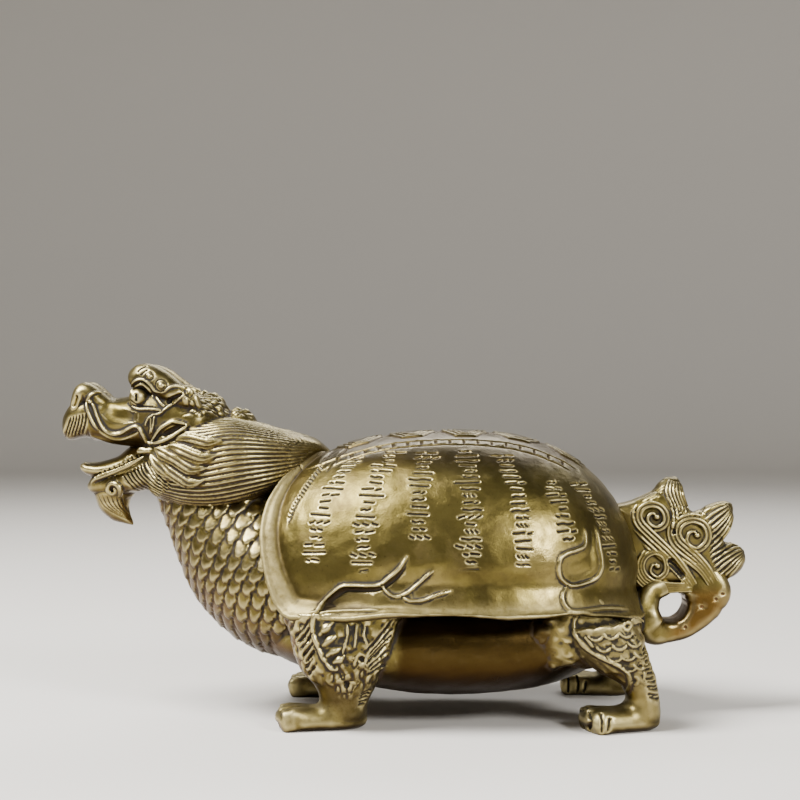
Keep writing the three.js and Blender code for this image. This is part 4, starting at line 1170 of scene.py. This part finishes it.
def tuft():
    """The tail's plate with rounded edges, its spikes and the curls on both faces."""
    outline = np.array(OUTLINE, float)
    middle = outline.mean(0)
    loop = np.concatenate([outline, outline[:1]])
    share = np.linspace(0, len(outline), 240, endpoint=False)
    ring = np.stack([np.interp(share, np.arange(len(loop)), loop[:, k]) for k in (0, 1)], -1)
    rows = []
    for turn in np.radians(np.linspace(-90, 90, 40)):
        size = bend(np.cos(turn), 0.35)
        flat = middle + (ring - middle) * size
        depth = TUFT_HALF * bend(np.sin(turn), 0.6)
        rows.append(np.stack([flat[:, 0], np.full(len(flat), depth), flat[:, 1]], -1))
    shells = [closed(np.stack(rows))]
    for spike in SPIKES:
        rows = [[x, 0, z, deep, wide] for x, z, wide, deep in spike]
        shells.append(loft([[*rows[0][:3], 0, 0], *rows], around=60, along=60))
    for side in SIDES:
        for line, spread in CURLS:
            shells += curl(line, spread, side)
    return shells


# Finish of a carved mesh

SOFT_ROUNDS, FINE_ROUNDS, BROAD_ROUNDS = 70, 6, 24  # how often points are pulled to their neighbours
FINE_FULL, BROAD_FULL = 0.05, 0.16  # depths that count as a full edge or hollow


def softened(made, where):
    """Smooths a mesh by the share that where gives for each point."""
    points, edges = read(made), edges_of(made)
    share = where(points)
    chosen = np.flatnonzero(share > 0)
    index = np.full(len(points), -1)
    index[chosen] = np.arange(len(chosen))
    near = index[edges]
    near = near[(near >= 0).all(axis=1)]
    points[chosen] = settled(points[chosen], near, SOFT_ROUNDS, share[chosen][:, None])
    write(made, points)
    return made


def carved(made, height):
    """Moves each point along its normal."""
    points, normals = read(made), read(made, "normal")
    write(made, points + normals * height(points, normals)[:, None])
    return made


def recess(made, size):
    """Stores how deep each point lies between its neighbours, finely and broadly, from -1, an edge, to 1, a
    hollow."""
    points, normals, edges = read(made), read(made, "normal"), edges_of(made)
    fine = settled(points, edges, FINE_ROUNDS)
    broad = settled(fine, edges, BROAD_ROUNDS)
    for name, other, full in (("fine", fine, FINE_FULL), ("broad", broad, BROAD_FULL)):
        depth = np.einsum("ij,ij->i", other - points, normals) / (full * size)
        store(made, name, np.clip(depth, -1, 1))
    return made


def store(made, name, values):
    layer = made.data.attributes.new(name, "FLOAT", "POINT")
    layer.data.foreach_set("value", values.astype(np.float32))
    return made


def pale_lip_and_shade(made):
    """Stores where the shell's metal is pale and dull, on the lip and low on its sides, and where painted
    shade darkens it, on the back and in the valley beside the lip."""
    points = read(made)
    x, y, z = points.T
    reach = np.where(x < SHELL_X, SHELL_FRONT, SHELL_REAR)
    long, wide = np.abs((x - SHELL_X) / reach), np.abs(y / SHELL_HALF)
    plan = (long ** (2 / PLAN_POWER) + wide ** (2 / PLAN_POWER)) ** PLAN_POWER
    lift = np.maximum(0, (z - SHELL_BASE) / SHELL_RISE) ** (2 / PROFILE_POWER)
    beyond = np.maximum(0, plan) ** (1 / PROFILE_POWER) + lift - 1
    front = smooth(-x, 8, 16)
    vine = even(TRUNK, 60)
    under = smooth(np.interp(x, vine[:, 0], vine[:, 1], left=0, right=0) - z, 0, 0.5) * (1 - smooth(x, -5, 0))
    low = 0.55 * (1 - smooth(z, SHELL_BASE + 0.8, SHELL_BASE + 2.6))
    edge_angle = np.linspace(math.pi - 1.2, math.pi + 1.2, 300)
    edge = dome(edge_angle, lip_tilt(edge_angle))
    chosen = np.flatnonzero(x < 0)
    valley = np.zeros(len(points))
    valley[chosen] = 1 - smooth(nearest(points[chosen], edge.tolist())[0], 0.2, 2.4)
    on_lip = smooth(beyond, 0.0, 0.05) * front
    # Painted shade in the valley beside the lip and over the top of the back
    store(made, "shade", np.maximum(0.5 * valley * (1 - on_lip), 0.7 * smooth(z, 38.5, 41)))
    return store(made, "pale", np.clip(np.maximum.reduce([on_lip, 0.45 * under, low]), 0, 1))


def shaded_head(made):
    """Stores painted shade where the head is a little darker: on the mane and the rough hair behind the brow.
    """
    points = read(made)
    x, z = points[:, 0], points[:, 2]
    on_mane = smooth(x, -40, -35) * (1 - smooth(z, 45, 47))
    on_hair = smooth(x, -35.5, -33) * smooth(z, 46.5, 48)
    return store(made, "shade", np.maximum(0.3 * on_mane, 0.2 * on_hair))


def body_shade_pale_reflection(made):
    """Stores painted shade where the body lies under the shell and the mane, where it is pale, on the paws
    and, as a painted highlight, on the hind legs' outer faces, and a painted brown reflection from below, at
    the chest and the tail's root."""
    points, normals = read(made), read(made, "normal")
    x, y, z = points.T
    # Painted shade: darker under the shell except on the legs, the chest and the tail, and a little under the
    # mane
    front_leg = smooth(np.abs(y), 10.5, 12) * (1 - smooth(np.abs(x + 8.6), 7.5, 9))
    hind_leg = smooth(np.abs(y), 8.5, 10) * smooth(x, 22, 24)
    open_air = np.maximum.reduce([front_leg, hind_leg, smooth(-x, 14, 18), smooth(x, 35, 38)])
    under_mane = 0.28 * smooth(-x, 12, 14) * smooth(z, 18, 21)
    store(made, "shade", np.maximum((1 - smooth(z, 17.5, 19.5)) * (1 - open_air), under_mane))
    # The paws are pale, and the hind legs' outer faces are paler too, as a painted highlight
    paws = 0.4 * smooth(np.abs(y), 9, 11) * (1 - smooth(z, 4.5, 8))
    lit_panel = 0.65 * smooth(np.abs(y), 13, 15) * smooth(x, 25, 27) * smooth(z, 5, 7)
    store(made, "pale", np.maximum(lit_panel, paws))
    # Painted reflection from below: brown at the tail's root and on the chest's faces turned down and forward
    tail = smooth(x, 41, 45) * (1 - smooth(z, 18.5, 21))
    chest = smooth(-normals[:, 0] - normals[:, 2], 0.75, 1.2) * smooth(-x, 12, 16) * (1 - smooth(z, 34, 40))
    return store(made, "painted_reflection", np.maximum(tail, chest))


def finished(made, material):
    """The carved mesh with no more triangles than a piece keeps, on the ground and in metres, as a piece."""
    count = sum(len(p.vertices) - 2 for p in made.data.polygons)
    if count > MOST_TRIANGLES:
        applied(made, "DECIMATE", ratio=MOST_TRIANGLES / count)
    points = read(made)
    points[:, 2] = np.maximum(points[:, 2], 0)
    points = (points * STRETCH - np.array((MIDDLE * STRETCH[0], 0, 0))) * MM
    write(made, points)
    made.data.shade_smooth()
    made.data.materials.clear()
    made.data.materials.append(material)
    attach(made, "root")
    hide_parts(NODE)
    return made


# Brass

class Nodes:
    """Shader nodes of a material, made and linked by short calls."""

    def __init__(self, name):
        self.material = bpy.data.materials.new(name)
        self.material.use_nodes = True
        self.tree = self.material.node_tree
        self.tree.nodes.clear()

    def add(self, kind, inputs=None, **settings):
        node = self.tree.nodes.new(kind)
        for name, value in settings.items():
            setattr(node, name, value)
        for key, value in (inputs or {}).items():
            if isinstance(value, bpy.types.NodeSocket):
                self.tree.links.new(value, node.inputs[key])
            else:
                node.inputs[key].default_value = value
        return node

    def attribute(self, name):
        return self.add("ShaderNodeAttribute", attribute_name=name).outputs["Fac"]

    def noise(self, scale, detail, rough):
        where = self.add("ShaderNodeTexCoord").outputs["Object"]
        inputs = {"Vector": where, "Scale": scale, "Detail": detail, "Roughness": rough}
        return self.add("ShaderNodeTexNoise", inputs).outputs["Fac"]

    def ramp(self, value, stops):
        node = self.add("ShaderNodeValToRGB", {"Fac": value})
        band = node.color_ramp
        for i, (place, colour) in enumerate(stops):
            stop = band.elements[i] if i < 2 else band.elements.new(place)
            stop.position = place
            stop.color = (*colour, 1)
        return node.outputs["Color"]

    def span(self, value, low, high, to_low=0.0, to_high=1.0):
        inputs = {"Value": value, "From Min": low, "From Max": high, "To Min": to_low, "To Max": to_high}
        return self.add("ShaderNodeMapRange", inputs).outputs["Result"]

    def mix(self, share, under, over):
        """The socket under, covered by the colour over to a share."""
        inputs = {0: share, 6: under, 7: (*over, 1)}
        return self.add("ShaderNodeMix", inputs, data_type="RGBA").outputs[2]

    def plus(self, a, b):
        return self.add("ShaderNodeMath", {0: a, 1: b}, operation="ADD").outputs["Value"]

    def times(self, a, b):
        return self.add("ShaderNodeMath", {0: a, 1: b}, operation="MULTIPLY").outputs["Value"]

    def most(self, a, b):
        return self.add("ShaderNodeMath", {0: a, 1: b}, operation="MAXIMUM").outputs["Value"]


# Linear colours: the bare metal at three places of its patches, then what lies over it: stains, specks,
# patina with painted shade in hollows, a painted reflection, wear, a pale finish that is also a painted
# highlight, then painted shade, and painted shade on faces turned down
METAL = [(0.36, (0.078, 0.06, 0.017)), (0.5, (0.148, 0.116, 0.032)), (0.64, (0.238, 0.187, 0.064))]
STAIN, SPECK, PATINA_AND_SHADE = (0.095, 0.07, 0.028), (0.045, 0.028, 0.01), (0.01, 0.0065, 0.003)
REFLECTED_BROWN, WORN, PALE_FINISH_AND_HIGHLIGHT = (0.13, 0.058, 0.012), (0.62, 0.525, 0.25), (0.26, 0.212, 0.096)
SHADE, UNDERSIDE_SHADE = (0.035, 0.019, 0.005), (0.03, 0.013, 0.003)
BUMP_STRENGTH, BUMP_HEIGHT = 0.35, 0.00006


def brass():
    n = Nodes("aged_brass")
    fine = n.attribute("fine")
    broad = n.attribute("broad")
    patches = n.noise(75, 6, 0.62)
    stains = n.noise(210, 6, 0.7)
    grain = n.noise(3200, 4, 0.65)
    specks = n.noise(1500, 3, 0.7)
    base = n.ramp(patches, METAL)
    base = n.mix(n.span(stains, 0.52, 0.7, 0, 0.65), base, STAIN)
    base = n.mix(n.span(specks, 0.62, 0.72, 0, 0.6), base, SPECK)
    # Patina and painted shade: darker, rougher and less metallic where the surface lies in a fine or a broad
    # hollow
    patina_and_shade = n.most(n.span(fine, 0.1, 0.6), n.span(broad, 0.12, 0.75))
    darkened_base = n.mix(patina_and_shade, base, PATINA_AND_SHADE)
    worn = n.most(n.span(fine, -0.16, -0.8), n.span(broad, -0.2, -0.9))
    # Painted reflection: a brown tint from below on the chest and the tail's root, with less wear shine there
    painted_reflection = n.attribute("painted_reflection")
    darkened_base = n.mix(n.times(painted_reflection, n.span(patches, 0.35, 0.6, 0.5, 0.85)), darkened_base, REFLECTED_BROWN)
    colour = n.mix(n.times(worn, n.span(painted_reflection, 0, 1, 0.8, 0.4)), darkened_base, WORN)
    # Pale dull finish, which on the hind legs' outer faces is a painted highlight
    pale = n.attribute("pale")
    pale_share = n.times(n.span(specks, 0.35, 0.65, 0.95, 0.35), n.span(patina_and_shade, 0, 1, 1, 0.15))
    colour = n.mix(n.times(pale, pale_share), colour, PALE_FINISH_AND_HIGHLIGHT)
    colour = n.mix(n.times(n.attribute("shade"), 0.9), colour, SHADE)
    # Painted shade: faces turned down are darker
    normal = n.add("ShaderNodeNewGeometry").outputs["Normal"]
    facing = n.add("ShaderNodeSeparateXYZ", {0: normal}).outputs["Z"]
    colour = n.mix(n.span(facing, -0.1, -0.7, 0, 0.85), colour, UNDERSIDE_SHADE)
    rough = n.plus(n.times(pale, 0.25), n.span(patches, 0.3, 0.7, 0.4, 0.26))
    rough = n.plus(rough, n.plus(n.span(stains, 0.5, 0.7, 0, 0.16), n.times(patina_and_shade, 0.4)))
    height = n.plus(grain, n.times(specks, 0.8))
    bump = n.add("ShaderNodeBump", {"Strength": BUMP_STRENGTH, "Distance": BUMP_HEIGHT, "Height": height})
    surface = {
        "Base Color": colour,
        "Metallic": n.span(patina_and_shade, 0, 1, 1, 0.3),
        "Roughness": rough,
        "Normal": bump.outputs["Normal"],
    }
    shader = n.add("ShaderNodeBsdfPrincipled", surface)
    n.add("ShaderNodeOutputMaterial", {"Surface": shader.outputs[0]})
    return n.material


# Floor and light, in metres

PAPER = (0.62, 0.59, 0.54, 1)
FLOOR_FLAT, FLOOR_CURVE, WALL_TOP = 1, 0.35, 1
FLOOR_SIDES = 96
AIM = Vector((0, 0, 0.025))
WORLD_COLOUR, WORLD_POWER = (1, 0.97, 0.93, 1), 0.12
# Each light's place, width and height, and power
LIGHTS = {
    "key": ((-0.3, -0.14, 0.48), (0.26, 0.26), 11),
    "fill": ((0.34, -0.42, 0.3), (0.14, 0.14), 3.5),
    "rim": ((0.1, 0.42, 0.42), (0.5, 0.15), 2),
}


def stage():
    """A pale floor whose edge curves up into a low wall all round."""
    n = Nodes("paper")
    shader = n.add("ShaderNodeBsdfPrincipled", {"Base Color": PAPER, "Roughness": 0.85})
    n.add("ShaderNodeOutputMaterial", {"Surface": shader.outputs[0]})
    profile = [(radius, 0) for radius in (0.3, 0.7, FLOOR_FLAT)]
    for a in np.linspace(0.1, math.pi / 2, 14):
        profile.append((FLOOR_FLAT + FLOOR_CURVE * math.sin(a), FLOOR_CURVE * (1 - math.cos(a))))
    profile.append((FLOOR_FLAT + FLOOR_CURVE, WALL_TOP))
    angles = [i / FLOOR_SIDES * 2 * math.pi for i in range(FLOOR_SIDES)]
    points = [(0, 0, 0)] + [(r * math.cos(a), r * math.sin(a), z) for r, z in profile for a in angles]
    faces = [(0, 1 + i, 1 + (i + 1) % FLOOR_SIDES) for i in range(FLOOR_SIDES)]
    for row in range(len(profile) - 1):
        low = 1 + row * FLOOR_SIDES
        high = low + FLOOR_SIDES
        for i in range(FLOOR_SIDES):
            j = (i + 1) % FLOOR_SIDES
            faces.append((low + i, high + i, high + j, low + j))
    mesh = bpy.data.meshes.new("floor")
    mesh.from_pydata(points, [], faces)
    mesh.shade_smooth()
    mesh.materials.append(n.material)
    floor = bpy.data.objects.new("floor", mesh)
    bpy.context.scene.collection.objects.link(floor)


def lights():
    world = bpy.data.worlds.new("room")
    world.use_nodes = True
    background = world.node_tree.nodes["Background"].inputs
    background["Color"].default_value = WORLD_COLOUR
    background["Strength"].default_value = WORLD_POWER
    bpy.context.scene.world = world
    for name, (place, size, power) in LIGHTS.items():
        data = bpy.data.lights.new(name, "AREA")
        data.shape = "RECTANGLE"
        data.size, data.size_y = size
        data.energy = power
        made = bpy.data.objects.new(name, data)
        made.location = place
        made.rotation_euler = (AIM - Vector(place)).to_track_quat("-Z", "Y").to_euler()
        bpy.context.scene.collection.objects.link(made)


# The pieces, then the scene round them

HEAD_DEPTH, BODY_DEPTH, TAIL_DEPTH, SHELL_DEPTH = 0.85, 0.85, 1, 1.5  # depth of each one's hollows

camera()
metal = brass()
whole_head = shaded_head(carved(fused("turtle_head", head(), HEAD_CELL), head_height))
finished(recess(whole_head, HEAD_DEPTH), metal)
whole_body = softened(fused("turtle_body", body(), BODY_CELL), ankles)
finished(recess(body_shade_pale_reflection(carved(whole_body, body_height)), BODY_DEPTH), metal)
whole_tail = carved(fused("turtle_tail", tuft(), TUFT_CELL), tuft_drawing().height)
finished(recess(whole_tail, TAIL_DEPTH), metal)
whole_shell = pale_lip_and_shade(carved(fused("turtle_shell", [shell()], SHELL_CELL), shell_height))
finished(recess(whole_shell, SHELL_DEPTH), metal)
stage()
lights()

bpy.context.view_layer.update()
